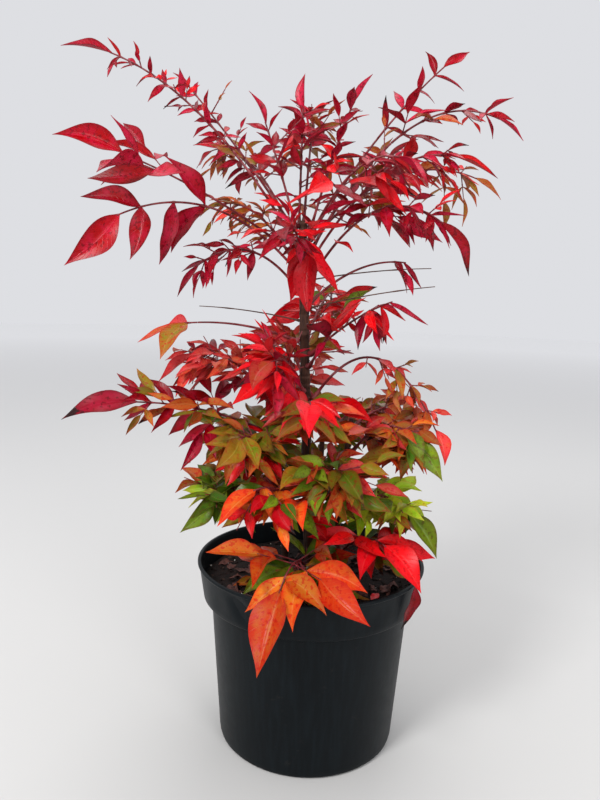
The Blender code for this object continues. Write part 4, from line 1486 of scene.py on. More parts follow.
@dataclass
class Spray:
    """One compound leaf: its limb, side stalks and leaflets, grown by the solids' rule.

    The rule draws in the same order as it does for the solid, so each leaflet lies over
    its own plain one. Then finer stalks grow from the same pairs, where there is room. rng
    is the solid's draws, and own is those for what only the dressed spray has.
    """

    leaf: Leaf
    canes: Canes
    reach: Reach
    blade: Blade
    filling: Filling = Filling()
    infill_droop: tuple[float, float] = (-0.55, 0.75)
    infill_size: tuple[float, float] = (0.50, 0.85)
    infill_reach: tuple[float, float] = (0.45, 1.20)
    infill_spread: tuple[float, float] = (0.9, 1.6)
    infill_pair: float = 0.45
    station_gap: float = 3.0 * MM
    stub_swell: float = 1.15
    sheath_swell: float = 0.9
    sheath_length: float = 4.0 * MM
    collar_swell: float = 0.45
    collar_length: float = 1.3 * MM
    broad_leaflet: float = 0.036
    broad_below: float = 0.305
    young_reach: tuple[float, float] = (0.35, 0.65)
    young_size: tuple[float, float] = (0.50, 0.80)
    young_roll: tuple[float, float] = (45.0, 115.0)
    character_seed: int = 5000
    infill_tries: int = 8
    leaflets: dict[Tint, list[Leaflet]] = field(default_factory=dict)
    twigs: list[Tube] = field(default_factory=list)
    rng: random.Random = field(init=False)
    own: random.Random = field(init=False)

    # A side stalk's stations: the share of its run, and how it swells there
    STALK_STATIONS = (
        (0.0, 1.5), (0.12, 1.1), (0.30, 1.0), (PAIR_SHARE - 0.06, 1.0), (PAIR_SHARE, 1.5),
        (PAIR_SHARE + 0.06, 1.0), (0.75, 1.0), (1.0, 1.0),
    )
    # The corners of a rough blade that has to find room, across and along
    ROUGH_BLADE = ((0.0, 0.25), (1.0, 0.45), (0.6, 0.75), (0.0, 1.0), (-0.6, 0.75), (-1.0, 0.45))

    def __post_init__(self) -> None:
        """Seed the draws."""
        self.rng = random.Random(self.leaf.seed)
        self.own = random.Random(self.leaf.seed + self.character_seed)

    @property
    def solid(self) -> str:
        """The name of the plain solid that this spray stands for."""
        return "spray_" + self.leaf.name

    def limb_point(self, share: float) -> Vector:
        """A point of the limb's arch.

        Args:
            share: the share of its run, from stub to tip.

        Returns:
            The point on its middle line.
        """
        start, outward = self.canes.limb_start(self.leaf)
        start = start + outward * LIMB_STUB
        tip = Vector(self.leaf.tip)
        control = (start + tip) / 2 + UP * self.leaf.rise
        return start * (1 - share) ** 2 + control * 2 * share * (1 - share) + tip * share**2

    def limb_direction(self, share: float) -> Vector:
        """The direction of the limb's arch.

        Args:
            share: the share of its run, from stub to tip.

        Returns:
            The unit direction there.
        """
        step = 0.01
        before, after = max(share - step, 0.0), min(share + step, 1.0)
        return (self.limb_point(after) - self.limb_point(before)).normalized()

    def pair_shares(self) -> list[float]:
        """The shares of the limb at which its pairs stand."""
        step = (1.0 - self.leaf.bare) / self.leaf.pairs
        return [self.leaf.bare + step * (i + FIRST_PAIR) for i in range(self.leaf.pairs)]

    def limb_radius(self, share: float) -> float:
        """The limb's radius at a share of its run, with a collar at each pair.

        Args:
            share: the share of the run.

        Returns:
            The radius in metres.
        """
        plain = LIMB_RADIUS + (LIMB_TIP_RADIUS - LIMB_RADIUS) * share
        run = (Vector(self.leaf.tip) - self.limb_point(0.0)).length
        near = min(abs(share - place) * run for place in self.pair_shares())
        collar = self.collar_swell * math.exp(-((near / self.collar_length) ** 2))
        sheath = self.sheath_swell * math.exp(-((share * run / self.sheath_length) ** 2))
        return plain * (1.0 + collar + sheath)

    def stretch(self, first: float, last: float) -> Tube:
        """The limb between two shares of its run.

        Args:
            first: the share that it starts at. Nought takes in the stub on the stem.
            last: the share that it ends at.

        Returns:
            The tube, with stations close enough for a smooth arch.
        """
        run = (self.limb_point(last) - self.limb_point(first)).length
        count = max(int(run / self.station_gap), 4)
        shares = {first + (last - first) * i / count for i in range(count + 1)}
        shares |= {place for place in self.pair_shares() if first < place < last}
        ordered = sorted(shares)
        points = [self.limb_point(share) for share in ordered]
        radii = [self.limb_radius(share) for share in ordered]
        if first == 0.0:
            points.insert(0, self.canes.limb_start(self.leaf)[0])
            radii.insert(0, radii[0] * self.stub_swell)
        return Tube(points, radii)

    def grow(self) -> None:
        """Grow every twig and leaflet of the spray."""
        foot = self.leaf.bare * BOUGH_SHARE if self.leaf.bough else 0.0
        if self.leaf.bough:
            run = (Vector(self.leaf.tip) - self.canes.limb_start(self.leaf)[0]).length
            foot += TOUCHING_GAP / run
        self.twigs.append(self.stretch(foot, 1.0))
        places = []
        for i, place in enumerate(self.pair_shares()):
            share = i / self.leaf.pairs
            node, along = self.limb_point(place), self.limb_direction(place)
            level = along.cross(UP).normalized()
            turn = self.leaf.roll * (1 if i % 2 else -1) + self.rng.uniform(-ROLL_RANGE, ROLL_RANGE)
            sideways = Matrix.Rotation(math.radians(turn), 3, along) @ level
            for side in (1.0, -1.0):
                angle = STALK_ANGLE * self.rng.uniform(*SPREAD_RANGE)
                heading = along * math.cos(angle) + sideways * math.sin(angle) * side
                heading = (heading + UP * self.rng.uniform(*LIFT_RANGE)).normalized()
                size = self.leaf.leaflet * self.rng.uniform(*LENGTH_RANGE) * (1.0 - LEAF_TAPER * share)
                tilt = (self.rng.uniform(*DROOP_RANGE), self.rng.uniform(*LEAN_RANGE))
                if i < self.leaf.stalked:
                    self.grow_stalk(node, heading, size)
                else:
                    self.add_leaflet(node - heading * SIDE_ROOT, heading, size, tilt)
            places.append((node, along, sideways, share))
        tip, along = self.limb_point(1.0), self.limb_direction(1.0)
        tilt = (self.rng.uniform(*END_DROOP_RANGE), self.rng.uniform(*END_LEAN_RANGE))
        self.add_leaflet(tip - along * LEAFLET_ROOT, along, self.leaf.end, tilt)
        for _ in range(self.filling.young):
            for node, along, sideways, share in places:
                self.grow_young(node, along, sideways, share)
        for i in range(self.filling.stalks):
            first, last = self.filling.span
            self.grow_infill(first + (last - first) * (i + self.own.random()) / self.filling.stalks)

    def dye(self, share: float) -> Tint:
        """The tint of the next leaflets: the spray's own, or for a share of them another."""
        return self.own.choice(self.filling.others) if self.own.random() < share else self.leaf.tint

    def grow_stalk(self, node: Vector, heading: Vector, size: float) -> None:
        """Grow one side stalk of the solid, with its end leaflet and its pair.

        Args:
            node: where the stalk leaves the limb.
            heading: its unit direction.
            size: its leaflets' length.
        """
        length = self.leaf.reach * self.rng.uniform(*REACH_RANGE)
        end = node + heading * length
        across = heading.cross(UP).normalized()
        tilts = [(self.rng.uniform(*DROOP_RANGE), self.rng.uniform(*LEAN_RANGE)) for _ in range(3)]
        bends = [self.rng.uniform(*SPREAD_RANGE) * LEAFLET_ANGLE for _ in range(2)]
        leaflets = [(end - heading * LEAFLET_ROOT, heading)]
        for turn, bend in zip((1.0, -1.0), bends):
            aside = heading * math.cos(bend) + across * math.sin(bend) * turn
            leaflets.append((node + heading * length * PAIR_SHARE - aside * SIDE_ROOT, aside))
        if not self.reach.has(self.solid, end):
            return
        self.add_stalk(node, end)
        for (root, aside), tilt in zip(leaflets, tilts):
            self.add_leaflet(root, aside, size, tilt)

    def add_stalk(self, node: Vector, end: Vector) -> None:
        """Add a thin stalk with a collar at its pair and a swollen foot.

        Args:
            node: where it leaves the limb.
            end: its tip.
        """
        points = [node.lerp(end, share) for share, _ in self.STALK_STATIONS]
        radii = [
            (STALK_RADIUS + (STALK_TIP_RADIUS - STALK_RADIUS) * share) * swell
            for share, swell in self.STALK_STATIONS
        ]
        self.twigs.append(Tube(points, radii, 6))

    def bearing(self, heading: Vector, tilt: tuple[float, float]) -> tuple[Vector, Vector]:
        """A leaflet's direction and normal from its heading and tilt, as in the solid.

        Args:
            heading: the unit direction that it leaves its stalk in.
            tilt: how much it droops and leans.

        Returns:
            The leaflet's unit direction and the normal of its blade.
        """
        droop, lean = tilt
        direction = (heading - UP * self.leaf.droop * droop).normalized()
        level = direction.cross(UP)
        if level.length < STEEP_SINE:
            level = SIDEWAYS.copy()
        level.normalize()
        lean += self.leaf.facing * level.dot(LIGHT)
        return direction, (level.cross(direction) + level * lean).normalized()

    def habit(self, root: Vector, size: float) -> Habit:
        """The habit of a leaflet: broad if it is long or low down, and slender if not."""
        is_grown = size > self.broad_leaflet or root.z < self.broad_below
        return BROAD if is_grown and not self.filling.slim else SLENDER

    def add_leaflet(
        self, root: Vector, heading: Vector, size: float, tilt: tuple[float, float]
    ) -> None:
        """Add a leaflet of the solid, if the solid has it.

        Args:
            root: where its blade starts.
            heading: the unit direction that it leaves its stalk in.
            size: its length.
            tilt: how much it droops and leans.
        """
        habit = self.habit(root, size)
        leaflet = habit.leaflet(self.own, root, self.bearing(heading, tilt), size)
        side = leaflet.normal.cross(leaflet.direction).normalized()
        above = leaflet.direction.cross(side)
        tip = root + leaflet.direction * size - above * LEAF_DROOP_SHARE * size
        tint = self.dye(self.filling.outer)
        if self.reach.has(self.solid, tip):
            self.leaflets.setdefault(tint, []).append(leaflet)

    def grow_infill(self, place: float) -> None:
        """Grow one more side stalk with three leaflets, at any bearing round the limb.

        Args:
            place: the share of the limb's run that it leaves at.
        """
        node, along = self.limb_point(place), self.limb_direction(place)
        for _ in range(self.infill_tries):
            turn = Matrix.Rotation(self.own.uniform(0.0, 2 * math.pi), 3, along)
            spread = turn @ along.cross(UP).normalized()
            angle = STALK_ANGLE * self.own.uniform(*self.infill_spread)
            heading = (along * math.cos(angle) + spread * math.sin(angle)).normalized()
            length = self.leaf.reach * self.own.uniform(*self.infill_reach)
            size = self.leaf.leaflet * self.own.uniform(*self.infill_size)
            if self.add_trio(node, heading, length, size, 2):
                return

    def add_trio(
        self, node: Vector, heading: Vector, length: float, size: float, least: int
    ) -> bool:
        """Grow a finer stalk with an end leaflet and a pair, where there is room.

        Args:
            node: where the stalk leaves the limb.
            heading: its unit direction.
            length: its length.
            size: its leaflets' length.
            least: how many of the three leaflets have to find room.

        Returns:
            True if it grew.
        """
        end = node + heading * length
        across = heading.cross(UP)
        across = across.normalized() if across.length > STEEP_SINE else SIDEWAYS.copy()
        found = []
        for turn in (0.0, 1.0, -1.0):
            bend = turn * LEAFLET_ANGLE * self.own.uniform(*SPREAD_RANGE)
            aside = heading * math.cos(bend) + across * math.sin(bend)
            root = end - heading * length * (self.infill_pair if turn else 0.0)
            tilt = (self.own.uniform(*self.infill_droop), self.own.uniform(*LEAN_RANGE))
            habit = self.habit(root, size)
            leaflet = habit.leaflet(self.own, root, self.bearing(aside, tilt), size)
            if self.has_room(leaflet):
                found.append(leaflet)
        if len(found) < least:
            return False
        self.add_stalk(node, end)
        self.leaflets.setdefault(self.dye(self.filling.inner), []).extend(found)
        return True

    def grow_young(self, node: Vector, along: Vector, sideways: Vector, share: float) -> None:
        """Grow a pair of finer stalks out of the plane of a pair, where there is room.

        Args:
            node: where the pair stands on the limb.
            along: the limb's direction there.
            sideways: the direction that the solid's pair spreads in.
            share: how far the pair is along the leafy stretch.
        """
        roll = math.radians(self.own.uniform(*self.young_roll))
        spread = Matrix.Rotation(roll, 3, along) @ sideways
        for side in (1.0, -1.0):
            angle = STALK_ANGLE * self.own.uniform(*SPREAD_RANGE)
            heading = (along * math.cos(angle) + spread * math.sin(angle) * side).normalized()
            length = self.leaf.reach * self.own.uniform(*self.young_reach)
            size = self.leaf.leaflet * self.own.uniform(*self.young_size) * (1.0 - LEAF_TAPER * share)
            self.add_trio(node, heading, length, size, 1)

    def has_room(self, leaflet: Leaflet) -> bool:
        """Whether a finer leaflet stays in the mass's space and touches no solid.

        Args:
            leaflet: the leaflet.

        Returns:
            True if it may grow.
        """
        corners = [leaflet.place(Vector((x, y, 0.5))) for x, y in self.ROUGH_BLADE]
        is_inside = all(self.reach.inside(self.solid, corner) for corner in corners)
        return is_inside and self.reach.is_clear(corners)

    def build(self) -> None:
        """Grow the spray and make its pieces: the bough, the twigs and the leaflets."""
        self.grow()
        if self.leaf.bough:
            bough = bmesh.new()
            self.stretch(0.0, self.leaf.bare * BOUGH_SHARE).add_to(bough)
            name = self.leaf.name
            make_piece("limb_" + name, bough, RACHIS_FINISH, ("bough_" + name,))
        stalks = bmesh.new()
        for twig in self.twigs:
            twig.add_to(stalks)
        name = "twigs_" + self.leaf.name
        make_piece(name, stalks, RACHIS_FINISH, (self.solid,))
        for tint, leaflets in self.leaflets.items():
            foliage = self.blade.new_shape()
            for leaflet in leaflets:
                self.blade.add_to(foliage, leaflet)
            name = f"leaves_{self.leaf.name}_{tint.value}"
            make_piece(name, foliage, LEAF_FINISHES[tint], (self.solid,))


@dataclass(frozen=True)
class Dent:
    """A soft dent in the collar, with angles in degrees.

    It leans by so many degrees from the collar's foot to its lip. A depth below nought is
    the bulge beside a dent.
    """

    bearing: float
    half_width: float
    depth: float
    lean: float


@dataclass
class Pot:
    """The thin black nursery pot: rolled lip, stepped collar with soft dents, tapered body."""

    height: float = 0.153
    rim_radius: float = 0.095
    lip_height: float = 0.0025
    lip_overhang: float = 0.0010
    collar_height: float = 0.030
    collar_foot_radius: float = 0.0895
    shoulder_drop: float = 0.0020
    body_top_radius: float = 0.0830
    foot_radius: float = 0.0742
    foot_chamfer: float = 0.0030
    wall: float = 0.0018
    floor: float = 0.0025
    steps: int = 144
    drain_holes: int = 6
    drain_radius: float = 0.0045
    drain_circle: float = 0.054
    collar_rows: int = 7
    body_rows: int = 6
    sharp_angle: float = math.radians(38)
    dent_shares: tuple[float, float] = (-0.05, 0.92)
    dent_fade: float = 0.7
    dents: tuple[Dent, ...] = (
        Dent(-124.0, 5.0, 3.6 * MM, -16.0),
        Dent(-113.0, 4.0, -1.2 * MM, -16.0),
        Dent(-140.0, 6.0, 1.2 * MM, 10.0),
        Dent(-60.0, 9.0, 1.0 * MM, 16.0),
        Dent(-20.0, 12.0, 0.8 * MM, -8.0),
        Dent(40.0, 10.0, 1.2 * MM, 8.0),
        Dent(110.0, 12.0, 1.0 * MM, -10.0),
        Dent(165.0, 9.0, 0.9 * MM, 12.0),
    )

    def wall_radius(self, height: float) -> float:
        """The pot's outer radius at a height, on the body and on the collar.

        Args:
            height: the height above its underside.

        Returns:
            The radius, without the lip's overhang.
        """
        shoulder = self.height - self.collar_height
        if height < shoulder:
            share = height / (shoulder - self.shoulder_drop)
            return self.foot_radius + (self.body_top_radius - self.foot_radius) * min(share, 1.0)
        share = (height - shoulder) / self.collar_height
        rim = self.rim_radius - self.lip_overhang
        return self.collar_foot_radius + (rim - self.collar_foot_radius) * share

    def outline(self) -> list[tuple[float, float]]:
        """The wall's section, from the middle of the floor inside to the middle underneath.

        Returns:
            Radius and height of each corner.
        """
        shoulder = self.height - self.collar_height
        under = shoulder - self.shoulder_drop
        lip_foot = self.height - self.lip_height
        inner = [
            (0.0, self.floor),
            (self.wall_radius(self.floor) - self.wall, self.floor),
            (self.body_top_radius - self.wall, under),
            (self.collar_foot_radius - self.wall, shoulder),
            (self.wall_radius(lip_foot) - self.wall, lip_foot),
        ]
        # The lip: its bevelled mouth, its rolled edge and the return below it
        mouth = self.rim_radius - self.lip_overhang - self.wall
        lip = [(mouth, self.height - 0.4 * MM), (mouth + 0.4 * MM, self.height)]
        half, reach = self.lip_height / 2, self.lip_height / 2 * 0.8
        for turn in (60, 20, -20, -60):
            angle = math.radians(turn)
            radius = self.rim_radius - reach + reach * math.cos(angle)
            lip.append((radius, self.height - half + half * math.sin(angle)))
        lip.append((self.wall_radius(lip_foot) - 0.1 * MM, lip_foot - 0.2 * MM))
        collar_run = lip_foot - shoulder - 0.8 * MM
        heights = [lip_foot - collar_run * i / self.collar_rows for i in range(1, self.collar_rows + 1)]
        collar = [(self.wall_radius(height), height) for height in heights]
        # The step under the collar, with its corners rounded by 0.5 to 1 mm
        step = [
            (self.collar_foot_radius - 0.5 * MM, shoulder),
            (self.collar_foot_radius - 2.4 * MM, under + 0.9 * MM),
            (self.body_top_radius + 1.0 * MM, under + 0.2 * MM),
        ]
        body_run = under - 2 * self.foot_chamfer
        heights = [under - body_run * i / self.body_rows for i in range(self.body_rows + 1)]
        body = [(self.wall_radius(height), height) for height in heights]
        foot = []
        for turn in (0, 30, 60, 90):
            angle = math.radians(turn)
            radius = self.foot_radius - self.foot_chamfer + self.foot_chamfer * math.cos(angle)
            foot.append((radius, self.foot_chamfer * (1.0 - math.sin(angle))))
        return inner + lip + collar + step + body + foot + [(0.0, 0.0)]

    def dented(self, place: Vector) -> Vector:
        """Press soft dents into the collar, as thin plastic that has been handled.

        Args:
            place: a corner of the fresh wall.

        Returns:
            The corner where the handled wall has it.
        """
        shoulder = self.height - self.collar_height
        share = (place.z - shoulder) / self.collar_height
        lowest, highest = self.dent_shares
        if share < lowest or share > highest:
            return place
        bearing = math.degrees(math.atan2(place.y, place.x))
        depth = 0.0
        for dent in self.dents:
            apart = (bearing - dent.bearing - dent.lean * (share - 0.5)) / dent.half_width
            depth += dent.depth * math.exp(-apart * apart)
        fall = math.sin(math.pi * min(max(share, 0.0) / highest, 1.0)) ** self.dent_fade
        outward = Vector((place.x, place.y, 0.0)).normalized()
        return place - outward * depth * fall

    def build(self) -> bpy.types.Object:
        """Spin the wall, dent its collar and cut the drain holes.

        Returns:
            The piece, which stands for the plain pot.
        """
        shape = spun(self.outline(), self.steps)
        for corner in shape.verts:
            corner.co = self.dented(corner.co)
        shade_smooth(shape, self.sharp_angle)
        pot = make_piece("nursery_pot", shape, POT_FINISH, ("pot",))
        self.drill(pot)
        return pot

    def drill(self, pot: bpy.types.Object) -> None:
        """Cut the drain holes through the floor.

        Args:
            pot: the pot's piece.
        """
        drills = bmesh.new()
        for i in range(self.drain_holes):
            turn = Matrix.Rotation(2 * math.pi * (i + 0.5) / self.drain_holes, 4, "Z")
            bmesh.ops.create_cone(
                drills, cap_ends=True, segments=32, radius1=self.drain_radius,
                radius2=self.drain_radius, depth=self.floor * 3,
                matrix=turn @ Matrix.Translation((self.drain_circle, 0.0, self.floor / 2)),
            )
        cutter = add_object("drills", mesh_of("drills", drills))
        cut = pot.modifiers.new("drain_holes", "BOOLEAN")
        cut.operation = "DIFFERENCE"
        cut.object = cutter
        graph = bpy.context.evaluated_depsgraph_get()
        drilled = bpy.data.meshes.new_from_object(pot.evaluated_get(graph))
        pot.modifiers.clear()
        pot.data = drilled
        bpy.data.objects.remove(cutter)


@dataclass(frozen=True)
class Lumps:
    """Lumps of one kind, strewn over the compost and half sunk in it.

    Their length is drawn between two sizes in millimetres, and shares are their length,
    width and height out of that.
    """

    name: str
    count: int
    sizes_mm: tuple[float, float]
    shares: tuple[float, float, float]
    finish: Mottled


@dataclass(frozen=True)
class FallenLeaflet:
    """A leaflet that fell lately: its middle, its bearing in degrees, its length and tint."""

    x: float
    y: float
    bearing: float
    length: float
    tint: Tint


@dataclass
class Compost:
    """The compost: a rough damp surface with crumbs, bark chips, perlite and fallen leaves."""

    pot: Pot
    canes: Canes
    blade: Blade
    rings: int = 26
    steps: int = 96
    level_radius: float = 0.050
    edge_drop: float = 0.003
    roughness_height: float = 1.6 * MM
    coarse_share: float = 0.7
    fine_share: float = 0.5
    calm_radius: float = 0.012
    lumps: tuple[Lumps, ...] = (
        Lumps("compost_crumbs", 560, (1.4, 5.2), (1.0, 0.8, 0.6), COMPOST_FINISH),
        Lumps("bark_chips", 110, (3.0, 8.5), (1.0, 0.42, 0.20), CHIP_FINISH),
        Lumps("perlite_grains", 34, (1.0, 2.4), (1.0, 0.9, 0.8), PERLITE_FINISH),
    )
    lump_tilt: float = 0.5
    lump_dint: float = 0.16
    dried: int = 52
    dried_mm: tuple[float, float] = (14.0, 30.0)
    dried_rise: tuple[float, float] = (-0.05, 0.12)
    dried_lean: tuple[float, float] = (-0.3, 0.3)
    dried_height: float = 2.2 * MM
    fresh: tuple[FallenLeaflet, ...] = (
        FallenLeaflet(0.031, -0.052, 10.0, 0.034, Tint.OLIVE),
        FallenLeaflet(0.051, -0.043, 60.0, 0.016, Tint.SCARLET),
        FallenLeaflet(-0.052, -0.028, 200.0, 0.022, Tint.BRONZE),
        FallenLeaflet(0.022, 0.056, 120.0, 0.026, Tint.ORANGE),
        FallenLeaflet(-0.042, 0.040, 300.0, 0.024, Tint.SCARLET),
    )
    fresh_rise: float = 0.10
    fresh_lean: tuple[tuple[float, float], ...] = ((-0.25, 0.25), (-0.45, -0.15))
    fresh_height: float = 3.0 * MM
    rim_bearing: float = -34.0
    rim_leaf_length: float = 0.036
    rim_leaf_direction: tuple[float, float, float] = (-0.17, -0.25, -1.0)
    rim_leaf_gap: float = 1.8 * MM
    rim_leaf_height: float = 1.5 * MM
    seed: int = 77
    rng: random.Random = field(init=False)

    # How often the coarse and the fine roughness and the lumps' dints change in a metre
    COARSE_GRAIN = 70.0
    FINE_GRAIN = 260.0
    DINT_GRAIN = 900.0

    def __post_init__(self) -> None:
        """Seed the draws."""
        self.rng = random.Random(self.seed)

    def top(self, x: float, y: float) -> float:
        """The height of the compost's surface at a place.

        Args:
            x: the place's first coordinate.
            y: its second coordinate.

        Returns:
            The height above the pot's underside.
        """
        edge = self.inner_radius(SOIL_TOP - self.edge_drop)
        slope = max(0.0, (math.hypot(x, y) - self.level_radius) / (edge - self.level_radius))
        coarse = noise.noise(Vector((x, y, 0.31)) * self.COARSE_GRAIN)
        fine = noise.noise(Vector((x, y, 0.77)) * self.FINE_GRAIN)
        calm = min(1.0, self.stem_distance(x, y) / self.calm_radius)
        rough = self.coarse_share * coarse + self.fine_share * fine
        return SOIL_TOP - self.edge_drop * slope + rough * self.roughness_height * calm

    def stem_distance(self, x: float, y: float) -> float:
        """How far a place is from the middle of the nearest stem's foot."""
        place = Vector((x, y))
        return min((place - self.canes.middle(stem, SOIL_TOP).to_2d()).length for stem in Stem)

    def inner_radius(self, height: float) -> float:
        """The radius that the compost fills at a height."""
        return self.pot.wall_radius(height) - self.pot.wall - TOUCHING_GAP

    def section(self) -> list[tuple[float, float]]:
        """The body's section, from the middle of its top to the middle of its foot.

        Returns:
            Radius and height of each corner.
        """
        edge_height = SOIL_TOP - self.edge_drop
        edge = self.inner_radius(edge_height)
        shoulder = self.pot.height - self.pot.collar_height
        under = shoulder - self.pot.shoulder_drop
        bottom = self.pot.floor + TOUCHING_GAP
        inset = self.pot.wall + TOUCHING_GAP
        surface = [(edge * i / self.rings, edge_height) for i in range(self.rings + 1)]
        return surface + [
            (self.pot.collar_foot_radius - inset, shoulder + TOUCHING_GAP),
            (self.pot.body_top_radius - inset, under + TOUCHING_GAP),
            (self.pot.wall_radius(bottom) - inset, bottom),
            (0.0, bottom),
        ]

    def build(self) -> None:
        """Make the body of compost and all that lies on it."""
        shape = spun(self.section(), self.steps)
        for corner in shape.verts:
            if abs(corner.co.z - SOIL_TOP + self.edge_drop) < MERGE_DISTANCE:
                corner.co.z = self.top(corner.co.x, corner.co.y)
            if corner.co.xy.length > self.level_radius:
                corner.co = self.pot.dented(corner.co)
        shade_smooth(shape)
        make_piece("compost", shape, COMPOST_FINISH, ("soil",))
        for lumps in self.lumps:
            self.scatter(lumps)
        self.drop_leaves()
        self.lay_fresh()
        self.hook_leaf()

    def spot(self, margin: float) -> Vector:
        """A seeded place on the compost, clear of the wall and the stems.

        Args:
            margin: how far it keeps from the wall.

        Returns:
            The place on the surface.
        """
        while True:
            away = (self.inner_radius(SOIL_TOP) - margin) * math.sqrt(self.rng.random())
            turn = self.rng.uniform(0.0, 2 * math.pi)
            x, y = away * math.cos(turn), away * math.sin(turn)
            if self.stem_distance(x, y) > margin + CANE_FOOT_RADIUS / 2:
                return Vector((x, y, self.top(x, y)))

    def scatter(self, lumps: Lumps) -> None:
        """Strew the lumps of one kind over the compost.

        Args:
            lumps: their name, count, sizes and finish.
        """
        shape = bmesh.new()
        for _ in range(lumps.count):
            length = self.rng.uniform(*lumps.sizes_mm) * MM
            turn = Matrix.Rotation(self.rng.uniform(0, 2 * math.pi), 4, "Z")
            tilt = Matrix.Rotation(self.rng.uniform(-self.lump_tilt, self.lump_tilt), 4, "X")
            size = Matrix.Diagonal([length / 2 * share for share in lumps.shares] + [1.0])
            place = Matrix.Translation(self.spot(length / 2 + 0.5 * MM))
            lump = bmesh.ops.create_icosphere(
                shape, subdivisions=1, radius=1.0, matrix=place @ turn @ tilt @ size
            )["verts"]
            for corner in lump:
                dint = noise.noise_vector(corner.co * self.DINT_GRAIN)
                corner.co += dint * length * self.lump_dint
        make_piece(lumps.name, shape, lumps.finish)

    def drop_leaves(self) -> None:
        """Lay dry curled leaflets on the compost."""
        foliage = self.blade.new_shape()
        for _ in range(self.dried):
            length = self.rng.uniform(*self.dried_mm) * MM
            turn = self.rng.uniform(0.0, 2 * math.pi)
            rise = self.rng.uniform(*self.dried_rise)
            direction = Vector((math.cos(turn), math.sin(turn), rise)).normalized()
            lean = [self.rng.uniform(*self.dried_lean) for _ in range(2)]
            bearing = (direction, Vector((*lean, 1.0)).normalized())
            middle = self.spot(length * 0.55) + UP * self.dried_height
            root = middle - direction * length / 2
            self.blade.add_to(foliage, DRIED.leaflet(self.rng, root, bearing, length))
        make_piece("fallen_leaves", foliage, LITTER_FINISH)

    def lay_fresh(self) -> None:
        """Lay the few leaflets that fell lately and still have their tint."""
        for i, fallen in enumerate(self.fresh, 1):
            turn = math.radians(fallen.bearing)
            direction = Vector((math.cos(turn), math.sin(turn), self.fresh_rise)).normalized()
            lean = [self.rng.uniform(*span) for span in self.fresh_lean]
            bearing = (direction, Vector((*lean, 1.0)).normalized())
            height = self.top(fallen.x, fallen.y) + self.fresh_height
            root = Vector((fallen.x, fallen.y, height)) - direction * fallen.length / 2
            foliage = self.blade.new_shape()
            leaflet = LATELY_FALLEN.leaflet(self.rng, root, bearing, fallen.length)
            self.blade.add_to(foliage, leaflet)
            finish = LEAF_FINISHES[fallen.tint]
            make_piece(f"fresh_fallen_leaf_{i}", foliage, finish)

    def hook_leaf(self) -> None:
        """Hook one withered leaflet over the rim, so that it hangs down the collar."""
        turn = math.radians(self.rim_bearing)
        outward = Vector((math.cos(turn), math.sin(turn), 0.0))
        root = outward * (self.pot.rim_radius + self.rim_leaf_gap)
        root += UP * (self.pot.height + self.rim_leaf_height)
        bearing = (Vector(self.rim_leaf_direction).normalized(), outward)
        foliage = self.blade.new_shape()
        leaflet = WITHERED.leaflet(self.rng, root, bearing, self.rim_leaf_length)
        self.blade.add_to(foliage, leaflet)
        make_piece("rim_leaf", foliage, LEAF_FINISHES[Tint.CRIMSON])


@dataclass(frozen=True)
class Softbox:
    """A square soft lamp that faces the middle of the crown."""

    name: str
    place: tuple[float, float, float]
    side: float
    watts: float

    AIM = Vector((0.0, 0.0, 0.32))

    def hang(self) -> None:
        """Put the lamp into the scene."""
        light = bpy.data.lights.new(self.name, "AREA")
        light.shape = "SQUARE"
        light.size = self.side
        light.energy = self.watts
        lamp = add_object(self.name, light)
        lamp.location = self.place
        aim = self.AIM - Vector(self.place)
        lamp.rotation_euler = aim.to_track_quat("-Z", "Y").to_euler()


